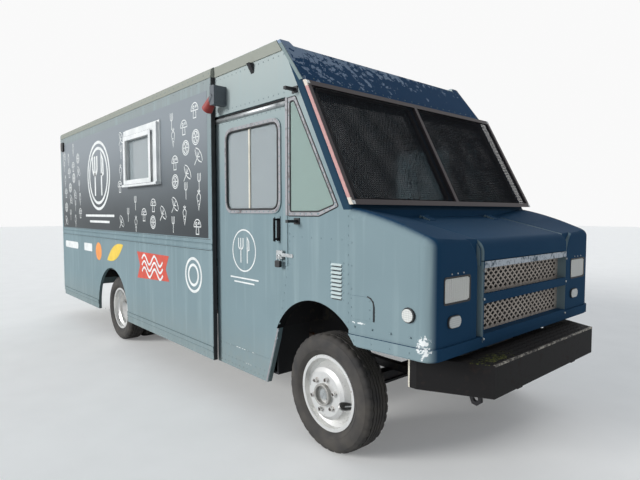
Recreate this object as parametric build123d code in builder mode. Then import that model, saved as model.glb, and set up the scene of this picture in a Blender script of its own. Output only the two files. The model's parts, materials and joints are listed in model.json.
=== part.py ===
# Walk-in step van converted to a food truck, in millimetres.
# The frame: +X points forward, +Y to the driver's left, +Z up.
# The origin is on the floor, under the middle of the overall box.
from build123d import *
import os
from math import radians, tan

os.makedirs("parts", exist_ok=True)

# Running gear
FRONT_AXLE_X = 2700.0
WHEELBASE = 3988.0
REAR_AXLE_X = FRONT_AXLE_X - WHEELBASE
TYRE_RADIUS = 405.0
TYRE_WIDTH = 226.0
RIM_FLANGE_RADIUS = 262.0
BEAD_RADIUS = 247.0
RIM_HALF_WIDTH = 88.0
RIM_WALL = 8.0
FRONT_TYRE_Y = 985.0
REAR_OUTER_TYRE_Y = 975.0
DUAL_OFFSET = 127.0
REAR_FACE_Y = REAR_OUTER_TYRE_Y - DUAL_OFFSET
REAR_INNER_TYRE_Y = REAR_FACE_Y - DUAL_OFFSET
KINGPIN_Y = 860.0
STUD_COUNT = 6
STUD_PCD = 222.25
STUD_ANGLE = 16.0
HAND_HOLE_ANGLE = -14.0

# Fits between pieces
RUNNING = 0.05
FIT = 0.3
CLEAR = 6.0

# Heights of the body
SKIRT_Z = 335.0
FLOOR_Z = 800.0
FLOOR_THICK = 40.0
CAB_FLOOR_Z = 794.0
RAIL_Z = 2800.0
ROOF_Z = 2856.0
ROOF_THICK = 30.0
ROOF_EDGE_RADIUS = 45.0

# Half widths of the body
BODY_HALF = 1168.0
CARGO_WALL = 36.0
CAB_RECESS = 40.0
CAB_HALF = BODY_HALF - CAB_RECESS
DOOR_RECESS = 63.0
DOOR_HALF = BODY_HALF - DOOR_RECESS
DOOR_THICK = 40.0
DOOR_INNER = DOOR_HALF - DOOR_THICK
POST_INNER = DOOR_INNER - CLEAR
HEADER_THICK = CAB_HALF - DOOR_HALF - CLEAR

# Stations along the body
BODY_REAR_X = FRONT_AXLE_X - 6250.0
REAR_FRAME_THICK = 40.0
SPLIT_X = FRONT_AXLE_X - 1385.0
ROOF_FRONT_X = FRONT_AXLE_X - 427.0
VISOR_X = FRONT_AXLE_X - 192.0
VISOR_Z = 2556.0
COWL_X = FRONT_AXLE_X + 280.0
WINDSHIELD_LEAN = 28.1
COWL_Z = VISOR_Z - (COWL_X - VISOR_X) / tan(radians(WINDSHIELD_LEAN))
FRONT_THICK = 34.0
FIREWALL_BACK_X = COWL_X - FRONT_THICK
BUMPER_FRONT_X = FRONT_AXLE_X + 1040.0
BUMPER_REAR_X = -BUMPER_FRONT_X

# Wheel arches
REAR_ARCH_RADIUS = 536.0
REAR_ARCH_Z = 398.0
FRONT_ARCH_X = FRONT_AXLE_X - 70.0
FRONT_ARCH_Z = 555.0
FRONT_ARCH_RADIUS = 482.0

# Sliding cab doors
DOOR_POST_X = FRONT_AXLE_X - 386.0
DOOR_TOP_Z = 2450.0
HEADER_Z = 2466.0
DOOR_BOTTOM_Z = 318.0
DOOR_KNEE_Z = 1250.0
DOOR_WAIST_X = FRONT_AXLE_X - 520.0
DOOR_WAIST_Z = 690.0
DOOR_TOE_X = FRONT_AXLE_X - 648.0
DOOR_OVERLAP = 30.0
DOOR_REAR_X = SPLIT_X - DOOR_OVERLAP
DOOR_TRAVEL = 800.0

# Nose: the fender faces stand ahead of the groove, the hood and grille ahead of both
NOSE_WALL = 20.0
NOSE_BOTTOM_Z = 820.0
NOSE_REAR_HALF = 1145.0
NOSE_FRONT_HALF = 1085.0
NOSE_CORNER_RADIUS = 80.0
GROOVE_X = FRONT_AXLE_X + 845.0
FACE_X = FRONT_AXLE_X + 870.0
HOOD_FRONT_X = FRONT_AXLE_X + 887.0
CREST_RADIUS = 60.0
CREST_MIDDLE = (FRONT_AXLE_X + 565.0, 1601.0)
CREST_FRONT = (FACE_X, 1487.0)
HOOD_REAR_Z = 1613.0
HOOD_SLOPE = 0.238
HOOD_BROW_RADIUS = 88.0
HOOD_EDGE_RADIUS = 15.0
HOOD_HALF = 600.0
HOOD_REAR_X = COWL_X + 55.0
HOOD_LOW_Z = 1345.0
GRILLE_TOP_Z = 1320.0
GRILLE_BOTTOM_Z = 900.0
DUCT_WALL = 12.0
GRILLE_HALF = HOOD_HALF - DUCT_WALL


def windshield_x(z, inset=0.0):
    """Front face of the windshield wall at a height, or of a face behind it."""
    return COWL_X - inset - (z - COWL_Z) * tan(radians(WINDSHIELD_LEAN))


def cap_x(z, inset=0.0):
    """Front face of the roof cap at a height, or of a face behind it."""
    return VISOR_X - inset - (z - VISOR_Z) * (VISOR_X - ROOF_FRONT_X) / (ROOF_Z - VISOR_Z)


def hood_z(x):
    """Top of the hood above a station."""
    return HOOD_REAR_Z - (x - COWL_X) * HOOD_SLOPE


# Ladder frame: two channel rails and the members between them
RAIL_OUTER = 432.0
RAIL_FLANGE = 65.0
RAIL_HEIGHT = 200.0
RAIL_WEB = 7.0
RAIL_TOP_Z = FLOOR_Z - FLOOR_THICK
RAIL_BOTTOM_Z = RAIL_TOP_Z - RAIL_HEIGHT
BUMPER_PLATE = 8.0
FRAME_REAR_X = BODY_REAR_X + REAR_FRAME_THICK
FRAME_FRONT_X = BUMPER_FRONT_X - BUMPER_PLATE
MEMBER_WIDE = 80.0
MEMBER_HIGH = 60.0
ENGINE_REAR_X = FRONT_AXLE_X - 260.0
ENGINE_FRONT_X = FRONT_AXLE_X + 640.0
MEMBER_TABLE = (
    # station of the rear edge, height of the lower edge
    (FRAME_REAR_X, RAIL_BOTTOM_Z),
    (-2300.0, RAIL_BOTTOM_Z),
    (-300.0, RAIL_BOTTOM_Z),
    (900.0, RAIL_TOP_Z - RAIL_WEB - MEMBER_HIGH),
    (ENGINE_REAR_X, RAIL_BOTTOM_Z),
    (ENGINE_FRONT_X - MEMBER_WIDE, RAIL_BOTTOM_Z),
)
with BuildPart() as chassis_frame:
    for side in (-1, 1):
        with BuildSketch(Plane.YZ.offset(FRAME_REAR_X)) as rail_section:
            with Locations((side * (RAIL_OUTER - RAIL_FLANGE / 2), RAIL_TOP_Z - RAIL_HEIGHT / 2)):
                Rectangle(RAIL_FLANGE, RAIL_HEIGHT)
            with Locations((side * (RAIL_OUTER - RAIL_FLANGE / 2 - RAIL_WEB), RAIL_TOP_Z - RAIL_HEIGHT / 2)):
                Rectangle(RAIL_FLANGE, RAIL_HEIGHT - 2 * RAIL_WEB, mode=Mode.SUBTRACT)
        extrude(amount=FRAME_FRONT_X - FRAME_REAR_X)
    for station, low in MEMBER_TABLE:
        with Locations((station, 0, low)):
            Box(MEMBER_WIDE, 2 * (RAIL_OUTER - RAIL_WEB), MEMBER_HIGH,
                align=(Align.MIN, Align.CENTER, Align.MIN))
chassis_frame.part.label = "chassis_frame"
export_step(chassis_frame.part, "parts/chassis_frame.step")

# Engine: one plain block on two members of the frame
ENGINE_HALF = 270.0
ENGINE_HEIGHT = 600.0
ENGINE_Z = RAIL_BOTTOM_Z + MEMBER_HIGH
with BuildPart() as engine:
    with Locations((ENGINE_REAR_X, 0, ENGINE_Z)):
        Box(ENGINE_FRONT_X - ENGINE_REAR_X, 2 * ENGINE_HALF, ENGINE_HEIGHT,
            align=(Align.MIN, Align.CENTER, Align.MIN))
engine.part.label = "engine"
export_step(engine.part, "parts/engine.step")

# Radiator on the rails behind the grille: a core between two tanks
RADIATOR_X = FRONT_AXLE_X + 690.0
RADIATOR_HALF = 560.0
RADIATOR_HIGH = 520.0
RADIATOR_TANK = 60.0
with BuildPart() as radiator:
    with BuildSketch(Plane.XZ.offset(-RADIATOR_HALF)) as radiator_side:
        with Locations((RADIATOR_X, RAIL_TOP_Z)):
            Rectangle(40, RADIATOR_HIGH, align=(Align.CENTER, Align.MIN))
        with Locations((RADIATOR_X, RAIL_TOP_Z), (RADIATOR_X, RAIL_TOP_Z + RADIATOR_HIGH - RADIATOR_TANK)):
            Rectangle(70, RADIATOR_TANK, align=(Align.CENTER, Align.MIN))
    extrude(amount=2 * RADIATOR_HALF)
radiator.part.label = "radiator"
export_step(radiator.part, "parts/radiator.step")

# Front axle: an I-beam with an upright eye for each kingpin
BEAM_BOTTOM_Z = 350.0
BEAM_TOP_Z = 440.0
BEAM_HIGH = BEAM_TOP_Z - BEAM_BOTTOM_Z
EYE_RADIUS = 45.0
PIN_RADIUS = 22.0
with BuildPart() as front_axle:
    with BuildSketch(Plane.XZ.offset(-KINGPIN_Y)) as beam_section:
        with Locations((FRONT_AXLE_X, BEAM_BOTTOM_Z + BEAM_HIGH / 2)):
            Rectangle(80, BEAM_HIGH)
        with Locations((FRONT_AXLE_X - 45, BEAM_BOTTOM_Z + BEAM_HIGH / 2),
                       (FRONT_AXLE_X + 45, BEAM_BOTTOM_Z + BEAM_HIGH / 2)):
            Rectangle(60, BEAM_HIGH - 34, mode=Mode.SUBTRACT)
    extrude(amount=2 * KINGPIN_Y)
    with Locations(*[(FRONT_AXLE_X, side * KINGPIN_Y, BEAM_BOTTOM_Z) for side in (-1, 1)]):
        Cylinder(EYE_RADIUS, BEAM_HIGH, align=(Align.CENTER, Align.CENTER, Align.MIN))
    with Locations(*[(FRONT_AXLE_X, side * KINGPIN_Y, BEAM_BOTTOM_Z) for side in (-1, 1)]):
        Cylinder(PIN_RADIUS + RUNNING, BEAM_HIGH, align=(Align.CENTER, Align.CENTER, Align.MIN),
                 mode=Mode.SUBTRACT)
front_axle.part.label = "front_axle"
export_step(front_axle.part, "parts/front_axle.step")

# Steering knuckles: a yoke round the eye, its kingpin, the brake's backing plate and the wheel spindle
YOKE_THICK = 36.0
YOKE_INNER = EYE_RADIUS + 6.0
YOKE_WEB = 22.0
SPINDLE_RADIUS = 35.0
SPINDLE_END_Y = FRONT_TYRE_Y + 85.0
PLATE_Y = KINGPIN_Y + YOKE_INNER + YOKE_WEB
PLATE_RADIUS = 175.0
PLATE_THICK = 6.0
for side_name, side in (("right", -1), ("left", 1)):
    with BuildPart() as knuckle:
        for low in (BEAM_BOTTOM_Z - FIT - YOKE_THICK, BEAM_TOP_Z + FIT):
            with BuildSketch(Plane.XY.offset(low)) as ear:
                with Locations((FRONT_AXLE_X, side * KINGPIN_Y)):
                    Circle(EYE_RADIUS)
                with Locations((FRONT_AXLE_X, side * (KINGPIN_Y + (YOKE_INNER + YOKE_WEB) / 2))):
                    Rectangle(2 * EYE_RADIUS, YOKE_INNER + YOKE_WEB)
            extrude(amount=YOKE_THICK)
        with Locations((FRONT_AXLE_X, side * (KINGPIN_Y + YOKE_INNER + YOKE_WEB / 2),
                        BEAM_BOTTOM_Z + BEAM_HIGH / 2)):
            Box(2 * EYE_RADIUS, YOKE_WEB, BEAM_HIGH + 2 * (YOKE_THICK + FIT))
        with Locations((FRONT_AXLE_X, side * KINGPIN_Y, BEAM_BOTTOM_Z - FIT - YOKE_THICK)):
            Cylinder(PIN_RADIUS, BEAM_HIGH + 2 * (YOKE_THICK + FIT),
                     align=(Align.CENTER, Align.CENTER, Align.MIN))
        with BuildSketch(Plane.XZ.offset(-side * PLATE_Y)) as backing:
            with Locations((FRONT_AXLE_X, TYRE_RADIUS)):
                Circle(PLATE_RADIUS)
        extrude(amount=-side * PLATE_THICK)
        with BuildSketch(Plane.XZ.offset(-side * (KINGPIN_Y + YOKE_INNER))) as spindle:
            with Locations((FRONT_AXLE_X, TYRE_RADIUS)):
                Circle(SPINDLE_RADIUS)
        extrude(amount=-side * (SPINDLE_END_Y - KINGPIN_Y - YOKE_INNER))
    knuckle.part.label = f"knuckle_{side_name}"
    export_step(knuckle.part, f"parts/knuckle_{side_name}.step")

# Rear axle: tubes, a round differential housing, brake plates and the spring pads
AXLE_TUBE_RADIUS = 58.0
HALF_SHAFT_RADIUS = 45.0
AXLE_END_Y = REAR_FACE_Y + 90.0
TUBE_END_Y = REAR_INNER_TYRE_Y - TYRE_WIDTH / 2 - 10.0
DIFF_RADIUS = 175.0
DIFF_HALF = 195.0
PAD_Z = TYRE_RADIUS + AXLE_TUBE_RADIUS + 14.0
PINION_LONG = 300.0
PINION_X = REAR_AXLE_X + PINION_LONG
with BuildPart() as rear_axle:
    with BuildSketch(Plane.XY.offset(TYRE_RADIUS)) as axle_half:
        with BuildLine() as axle_line:
            Polyline((REAR_AXLE_X, -AXLE_END_Y), (REAR_AXLE_X + HALF_SHAFT_RADIUS, -AXLE_END_Y),
                     (REAR_AXLE_X + HALF_SHAFT_RADIUS, -TUBE_END_Y),
                     (REAR_AXLE_X + PLATE_RADIUS, -TUBE_END_Y),
                     (REAR_AXLE_X + PLATE_RADIUS, PLATE_THICK - TUBE_END_Y),
                     (REAR_AXLE_X + AXLE_TUBE_RADIUS, PLATE_THICK - TUBE_END_Y),
                     (REAR_AXLE_X + AXLE_TUBE_RADIUS, -DIFF_HALF),
                     (REAR_AXLE_X + 0.7 * DIFF_RADIUS, -0.75 * DIFF_HALF),
                     (REAR_AXLE_X + DIFF_RADIUS, -0.3 * DIFF_HALF),
                     (REAR_AXLE_X + DIFF_RADIUS, 0.3 * DIFF_HALF),
                     (REAR_AXLE_X + 0.7 * DIFF_RADIUS, 0.75 * DIFF_HALF),
                     (REAR_AXLE_X + AXLE_TUBE_RADIUS, DIFF_HALF),
                     (REAR_AXLE_X + AXLE_TUBE_RADIUS, TUBE_END_Y - PLATE_THICK),
                     (REAR_AXLE_X + PLATE_RADIUS, TUBE_END_Y - PLATE_THICK),
                     (REAR_AXLE_X + PLATE_RADIUS, TUBE_END_Y),
                     (REAR_AXLE_X + HALF_SHAFT_RADIUS, TUBE_END_Y),
                     (REAR_AXLE_X + HALF_SHAFT_RADIUS, AXLE_END_Y), (REAR_AXLE_X, AXLE_END_Y),
                     (REAR_AXLE_X, -AXLE_END_Y))
        make_face()
    revolve(axis=Axis((REAR_AXLE_X, 0, TYRE_RADIUS), (0, 1, 0)), revolution_arc=360)
    with BuildSketch(Plane.YZ.offset(REAR_AXLE_X)) as pinion_nose:
        with Locations((0, TYRE_RADIUS)):
            Circle(80)
    extrude(amount=PINION_LONG, taper=6)
    with Locations(*[(REAR_AXLE_X, side * (RAIL_OUTER - RAIL_FLANGE / 2), TYRE_RADIUS) for side in (-1, 1)]):
        Box(120, RAIL_FLANGE + 10, PAD_Z - TYRE_RADIUS, align=(Align.CENTER, Align.CENTER, Align.MIN))
rear_axle.part.label = "rear_axle"
export_step(rear_axle.part, "parts/rear_axle.step")

# Leaf springs: stacked bowed leaves with an eye at each end, one pack over each end of an axle
LEAF_WIDE = 62.0
LEAF_THICK = 14.0
SPRING_EYE_RADIUS = 24.0
EYE_Z = RAIL_BOTTOM_Z - SPRING_EYE_RADIUS
SPRING_TABLE = (
    # axle station, height of the pad, half length, leaves
    (FRONT_AXLE_X, BEAM_TOP_Z, 600.0, 4),
    (REAR_AXLE_X, PAD_Z, 660.0, 4),
)
with BuildPart() as leaf_springs:
    for axle_x, pad_z, half_length, leaves in SPRING_TABLE:
        for side in (-1, 1):
            spring_y = side * (RAIL_OUTER - RAIL_FLANGE / 2) + LEAF_WIDE / 2
            top_mid_z = pad_z + leaves * LEAF_THICK
            bow = EYE_Z - top_mid_z + LEAF_THICK / 2
            for leaf in range(leaves):
                reach = half_length * (1 - leaf / (leaves + 0.5))
                middle_z = top_mid_z - leaf * LEAF_THICK
                tip_z = middle_z + bow * (reach / half_length) ** 2
                with BuildSketch(Plane.XZ.offset(-spring_y)) as leaf_side:
                    with BuildLine() as leaf_line:
                        ThreePointArc((axle_x - reach, tip_z), (axle_x, middle_z), (axle_x + reach, tip_z))
                        Line((axle_x + reach, tip_z), (axle_x + reach, tip_z - LEAF_THICK))
                        ThreePointArc((axle_x + reach, tip_z - LEAF_THICK), (axle_x, middle_z - LEAF_THICK),
                                      (axle_x - reach, tip_z - LEAF_THICK))
                        Line((axle_x - reach, tip_z - LEAF_THICK), (axle_x - reach, tip_z))
                    make_face()
                extrude(amount=LEAF_WIDE)
            for end in (-1, 1):
                with BuildSketch(Plane.XZ.offset(-spring_y)) as spring_eye:
                    with Locations((axle_x + end * half_length, EYE_Z)):
                        Circle(SPRING_EYE_RADIUS)
                extrude(amount=LEAF_WIDE)
leaf_springs.part.label = "leaf_springs"
export_step(leaf_springs.part, "parts/leaf_springs.step")

# Drive shaft from the engine's tail down to the rear axle
SHAFT_RADIUS = 45.0
SHAFT_HIGH_Z = 690.0
with BuildPart() as drive_shaft:
    shaft_end = Vector(ENGINE_REAR_X, 0, SHAFT_HIGH_Z)
    shaft_start = Vector(PINION_X, 0, TYRE_RADIUS)
    reach_out = (shaft_end - shaft_start).normalized() * 60
    with BuildSketch(Plane(origin=shaft_start - reach_out, z_dir=shaft_end - shaft_start)) as shaft_section:
        Circle(SHAFT_RADIUS)
    extrude(amount=(shaft_end - shaft_start).length + 120)
    with Locations((PINION_X, 0, TYRE_RADIUS)):
        Box(400, 400, 400, align=(Align.MAX, Align.CENTER, Align.CENTER), mode=Mode.SUBTRACT)
    with Locations((ENGINE_REAR_X, 0, SHAFT_HIGH_Z)):
        Box(400, 400, 400, align=(Align.MIN, Align.CENTER, Align.CENTER), mode=Mode.SUBTRACT)
drive_shaft.part.label = "drive_shaft"
export_step(drive_shaft.part, "parts/drive_shaft.step")

# Fuel tank on the outer face of the left rail
TANK_X = 350.0
TANK_LONG = 800.0
with BuildPart() as fuel_tank:
    with BuildSketch(Plane.YZ.offset(TANK_X)) as tank_section:
        with Locations((RAIL_OUTER + 170, RAIL_TOP_Z - 135)):
            RectangleRounded(340, 250, 40)
        with Locations((RAIL_OUTER, RAIL_TOP_Z - 135)):
            Rectangle(60, 250, align=(Align.MIN, Align.CENTER))
    extrude(amount=TANK_LONG)
fuel_tank.part.label = "fuel_tank"
export_step(fuel_tank.part, "parts/fuel_tank.step")

# Exhaust: a muffler beside the right rail, the pipe from the engine under the rail, and the outlet
MUFFLER_X = 350.0
MUFFLER_LONG = 700.0
MUFFLER_Y = -545.0
MUFFLER_Z = 610.0
MUFFLER_RADIUS = 95.0
PIPE_RADIUS = 28.0
PIPE_LOW_Z = RAIL_BOTTOM_Z - PIPE_RADIUS - 17.0
with BuildPart() as exhaust:
    with Locations((MUFFLER_X + MUFFLER_LONG / 2, MUFFLER_Y, MUFFLER_Z)):
        Cylinder(MUFFLER_RADIUS, MUFFLER_LONG, rotation=(0, 90, 0))
    fillet(exhaust.edges().filter_by(GeomType.CIRCLE), 18)
    for station in (MUFFLER_X + 120, MUFFLER_X + MUFFLER_LONG - 120):
        with Locations((station, -RAIL_OUTER, MUFFLER_Z + 20)):
            Box(50, 40, 30, align=(Align.CENTER, Align.MAX, Align.CENTER))
    with BuildLine() as front_route:
        FilletPolyline((MUFFLER_X + MUFFLER_LONG - 10, MUFFLER_Y, MUFFLER_Z), (1300, MUFFLER_Y, MUFFLER_Z),
                       (1450, MUFFLER_Y, PIPE_LOW_Z), (1950, -220, PIPE_LOW_Z), (2610, -220, PIPE_LOW_Z),
                       (2610, -220, ENGINE_Z), radius=60)
    with BuildSketch(Plane(origin=front_route.line @ 0, z_dir=front_route.line % 0)) as front_pipe:
        Circle(PIPE_RADIUS)
    sweep(path=front_route.line)
    with BuildLine() as tail_route:
        FilletPolyline((MUFFLER_X + 10, MUFFLER_Y, MUFFLER_Z), (180, MUFFLER_Y, MUFFLER_Z), (60, -700, 500),
                       radius=60)
    with BuildSketch(Plane(origin=tail_route.line @ 0, z_dir=tail_route.line % 0)) as tail_pipe:
        Circle(PIPE_RADIUS)
    sweep(path=tail_route.line)
exhaust.part.label = "exhaust"
export_step(exhaust.part, "parts/exhaust.step")

# Floor: one deck, lower and narrower in the cab, open over the engine, the wheels and the steps
SHEET = 15.0
WHEEL_BOX_INNER = REAR_INNER_TYRE_Y - TYRE_WIDTH / 2 - 20.0
WHEEL_BOX_HALF = TYRE_RADIUS + 75.0
WHEEL_BOX_TOP_Z = 920.0
FRONT_BOX_INNER = 620.0
FRONT_BOX_REAR_X = FRONT_AXLE_X - 560.0
FRONT_BOX_TOP_Z = 1060.0
STEP_INNER = 760.0
STEP_Z = 400.0
SLIDE_REAR_X = DOOR_REAR_X - DOOR_TRAVEL - CLEAR
WALL_INNER = BODY_HALF - CARGO_WALL
FLOOR_REAR_X = BODY_REAR_X + REAR_FRAME_THICK
with BuildPart() as floor:
    with BuildSketch(Plane.XY.offset(FLOOR_Z - FLOOR_THICK)) as deck:
        with Locations((FLOOR_REAR_X, 0)):
            Rectangle(SLIDE_REAR_X - FLOOR_REAR_X, 2 * WALL_INNER, align=(Align.MIN, Align.CENTER))
        with Locations((SLIDE_REAR_X, 0)):
            Rectangle(FIREWALL_BACK_X - SLIDE_REAR_X, 2 * POST_INNER, align=(Align.MIN, Align.CENTER))
        for side in (-1, 1):
            outward = Align.MIN if side == 1 else Align.MAX
            with Locations((REAR_AXLE_X, side * (WHEEL_BOX_INNER - SHEET))):
                Rectangle(2 * (WHEEL_BOX_HALF + SHEET), BODY_HALF, align=(Align.CENTER, outward),
                          mode=Mode.SUBTRACT)
            with Locations((FRONT_BOX_REAR_X - SHEET, side * (FRONT_BOX_INNER - SHEET))):
                Rectangle(BODY_HALF, BODY_HALF, align=(Align.MIN, outward), mode=Mode.SUBTRACT)
            with Locations((SPLIT_X, side * (STEP_INNER - SHEET))):
                Rectangle(FRONT_BOX_REAR_X - SPLIT_X, BODY_HALF, align=(Align.MIN, outward),
                          mode=Mode.SUBTRACT)
        with Locations((ENGINE_REAR_X - 30, 0)):
            Rectangle(BODY_HALF, 2 * (ENGINE_HALF + 30), align=(Align.MIN, Align.CENTER), mode=Mode.SUBTRACT)
    extrude(amount=FLOOR_THICK)
    with Locations((SLIDE_REAR_X, 0, CAB_FLOOR_Z)):
        Box(FIREWALL_BACK_X - SLIDE_REAR_X, 2 * BODY_HALF, FLOOR_THICK,
            align=(Align.MIN, Align.CENTER, Align.MIN),
            mode=Mode.SUBTRACT)
floor.part.label = "floor"
export_step(floor.part, "parts/floor.step")

# Wheel boxes: open below and to the side, over the twin wheels and over the steered ones
with BuildPart() as wheel_boxes:
    for side in (-1, 1):
        outward = Align.MIN if side == 1 else Align.MAX
        with Locations((REAR_AXLE_X, side * (WHEEL_BOX_INNER - SHEET), RAIL_TOP_Z)):
            Box(2 * (WHEEL_BOX_HALF + SHEET), WALL_INNER - WHEEL_BOX_INNER + SHEET, WHEEL_BOX_TOP_Z - RAIL_TOP_Z,
                align=(Align.CENTER, outward, Align.MIN))
        with Locations((REAR_AXLE_X, side * WHEEL_BOX_INNER, RAIL_TOP_Z)):
            Box(2 * WHEEL_BOX_HALF, WALL_INNER - WHEEL_BOX_INNER, WHEEL_BOX_TOP_Z - SHEET - RAIL_TOP_Z,
                align=(Align.CENTER, outward, Align.MIN), mode=Mode.SUBTRACT)
        with Locations((FRONT_BOX_REAR_X - SHEET, side * (FRONT_BOX_INNER - SHEET), RAIL_TOP_Z)):
            Box(FIREWALL_BACK_X - FRONT_BOX_REAR_X + SHEET, POST_INNER - FRONT_BOX_INNER + SHEET,
                FRONT_BOX_TOP_Z + SHEET - RAIL_TOP_Z, align=(Align.MIN, outward, Align.MIN))
        with Locations((FRONT_BOX_REAR_X, side * FRONT_BOX_INNER, RAIL_TOP_Z)):
            Box(FIREWALL_BACK_X - FRONT_BOX_REAR_X, POST_INNER - FRONT_BOX_INNER, FRONT_BOX_TOP_Z - RAIL_TOP_Z,
                align=(Align.MIN, outward, Align.MIN), mode=Mode.SUBTRACT)
wheel_boxes.part.label = "wheel_boxes"
export_step(wheel_boxes.part, "parts/wheel_boxes.step")

# Step wells inside the cab doors
STEP_FRONT_X = FRONT_BOX_REAR_X - SHEET
with BuildPart() as step_wells:
    for side in (-1, 1):
        outward = Align.MIN if side == 1 else Align.MAX
        with Locations((SPLIT_X, side * (STEP_INNER - SHEET), STEP_Z - SHEET)):
            Box(STEP_FRONT_X - SPLIT_X, POST_INNER - STEP_INNER + SHEET, CAB_FLOOR_Z - STEP_Z + SHEET,
                align=(Align.MIN, outward, Align.MIN))
        with Locations((SPLIT_X + SHEET, side * STEP_INNER, STEP_Z)):
            Box(STEP_FRONT_X - SPLIT_X - 2 * SHEET, POST_INNER - STEP_INNER, CAB_FLOOR_Z - STEP_Z,
                align=(Align.MIN, outward, Align.MIN), mode=Mode.SUBTRACT)
step_wells.part.label = "step_wells"
export_step(step_wells.part, "parts/step_wells.step")

# Engine cover between the seats, open at the firewall
COVER_TOP_Z = ENGINE_Z + ENGINE_HEIGHT + 60.0
COVER_REAR_X = ENGINE_REAR_X - 60.0
COVER_HALF = ENGINE_HALF + 60.0
COVER_WALL = 30.0
with BuildPart() as engine_cover:
    with Locations((COVER_REAR_X, 0, CAB_FLOOR_Z)):
        Box(FIREWALL_BACK_X - COVER_REAR_X, 2 * COVER_HALF, COVER_TOP_Z - CAB_FLOOR_Z,
            align=(Align.MIN, Align.CENTER, Align.MIN))
    fillet(engine_cover.edges().filter_by(Axis.Z).group_by(Axis.X)[0], 50)
    fillet(engine_cover.faces().sort_by(Axis.Z)[-1].edges().group_by(Axis.X)[0], 30)
    with Locations((COVER_REAR_X + COVER_WALL, 0, CAB_FLOOR_Z)):
        Box(FIREWALL_BACK_X - COVER_REAR_X - COVER_WALL, 2 * (COVER_HALF - COVER_WALL),
            COVER_TOP_Z - CAB_FLOOR_Z - COVER_WALL, align=(Align.MIN, Align.CENTER, Align.MIN), mode=Mode.SUBTRACT)
engine_cover.part.label = "engine_cover"
export_step(engine_cover.part, "parts/engine_cover.step")

# Cargo side walls with ribbed mouldings, the rear wheel arches, and the serving opening on the right
WINDOW_REAR_X = FRONT_AXLE_X - 3375.0
WINDOW_FRONT_X = FRONT_AXLE_X - 2427.0
WINDOW_BOTTOM_Z = 1933.0
WINDOW_TOP_Z = 2588.0
WINDOW_FLANGE = 35.0
MOULDING = 5.0
RIB = 5.0
RIB_HIGH = 12.0
MOULDING_TABLE = (
    # lower edge, upper edge
    (402.0, 457.0),
    (1308.0, 1370.0),
)
WALL_REAR_X = BODY_REAR_X + REAR_FRAME_THICK
for side_name, side in (("right", -1), ("left", 1)):
    with BuildPart() as side_wall:
        with BuildSketch(Plane.XZ.offset(-side * BODY_HALF)) as wall_side:
            with Locations((WALL_REAR_X, SKIRT_Z)):
                Rectangle(SPLIT_X - WALL_REAR_X, RAIL_Z - SKIRT_Z, align=(Align.MIN, Align.MIN))
        extrude(amount=side * CARGO_WALL)
        with BuildSketch(Plane.YZ.offset(WALL_REAR_X)) as moulding_sections:
            for low, high in MOULDING_TABLE:
                with BuildLine():
                    Polyline((side * BODY_HALF, low), (side * (BODY_HALF + MOULDING + RIB), low + 3),
                             (side * (BODY_HALF + MOULDING + RIB), low + RIB_HIGH - 3),
                             (side * (BODY_HALF + MOULDING), low + RIB_HIGH),
                             (side * (BODY_HALF + MOULDING), high - RIB_HIGH),
                             (side * (BODY_HALF + MOULDING + RIB), high - RIB_HIGH + 3),
                             (side * (BODY_HALF + MOULDING + RIB), high - 3), (side * BODY_HALF, high), close=True)
                make_face()
        extrude(amount=SPLIT_X - WALL_REAR_X)
        with BuildSketch(Plane.XZ.offset(-side * (BODY_HALF + 20))) as arch_cut:
            with Locations((REAR_AXLE_X, REAR_ARCH_Z)):
                Circle(REAR_ARCH_RADIUS)
        extrude(amount=side * (CARGO_WALL + 40), mode=Mode.SUBTRACT)
        if side == -1:
            with BuildSketch(Plane.XZ.offset(BODY_HALF + 20)) as window_cut:
                with Locations(((WINDOW_REAR_X + WINDOW_FRONT_X) / 2, (WINDOW_BOTTOM_Z + WINDOW_TOP_Z) / 2)):
                    Rectangle(WINDOW_FRONT_X - WINDOW_REAR_X - 2 * WINDOW_FLANGE,
                              WINDOW_TOP_Z - WINDOW_BOTTOM_Z - 2 * WINDOW_FLANGE)
            extrude(amount=-(CARGO_WALL + 40), mode=Mode.SUBTRACT)
    side_wall.part.label = f"side_wall_{side_name}"
    export_step(side_wall.part, f"parts/side_wall_{side_name}.step")


ROOF_EDGE_Z = 2891.0
ROOF_RAIL_INNER = CAB_HALF - 90.0


def roof_outline(low_z, half, edge_radius):
    """Section of the roof, also the outline of the rear frame and the cap: its rails stand above the skin."""
    with BuildSketch() as outline:
        with Locations((0, low_z)):
            Rectangle(2 * half, ROOF_EDGE_Z - low_z, align=(Align.CENTER, Align.MIN))
        fillet(outline.vertices().group_by(Axis.Y)[-1], edge_radius)
        with BuildLine():
            Polyline((-ROOF_RAIL_INNER, ROOF_EDGE_Z), (20 - ROOF_RAIL_INNER, ROOF_Z), (ROOF_RAIL_INNER - 20, ROOF_Z),
                     (ROOF_RAIL_INNER, ROOF_EDGE_Z), close=True)
        make_face(mode=Mode.SUBTRACT)
    return outline.sketch


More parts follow.
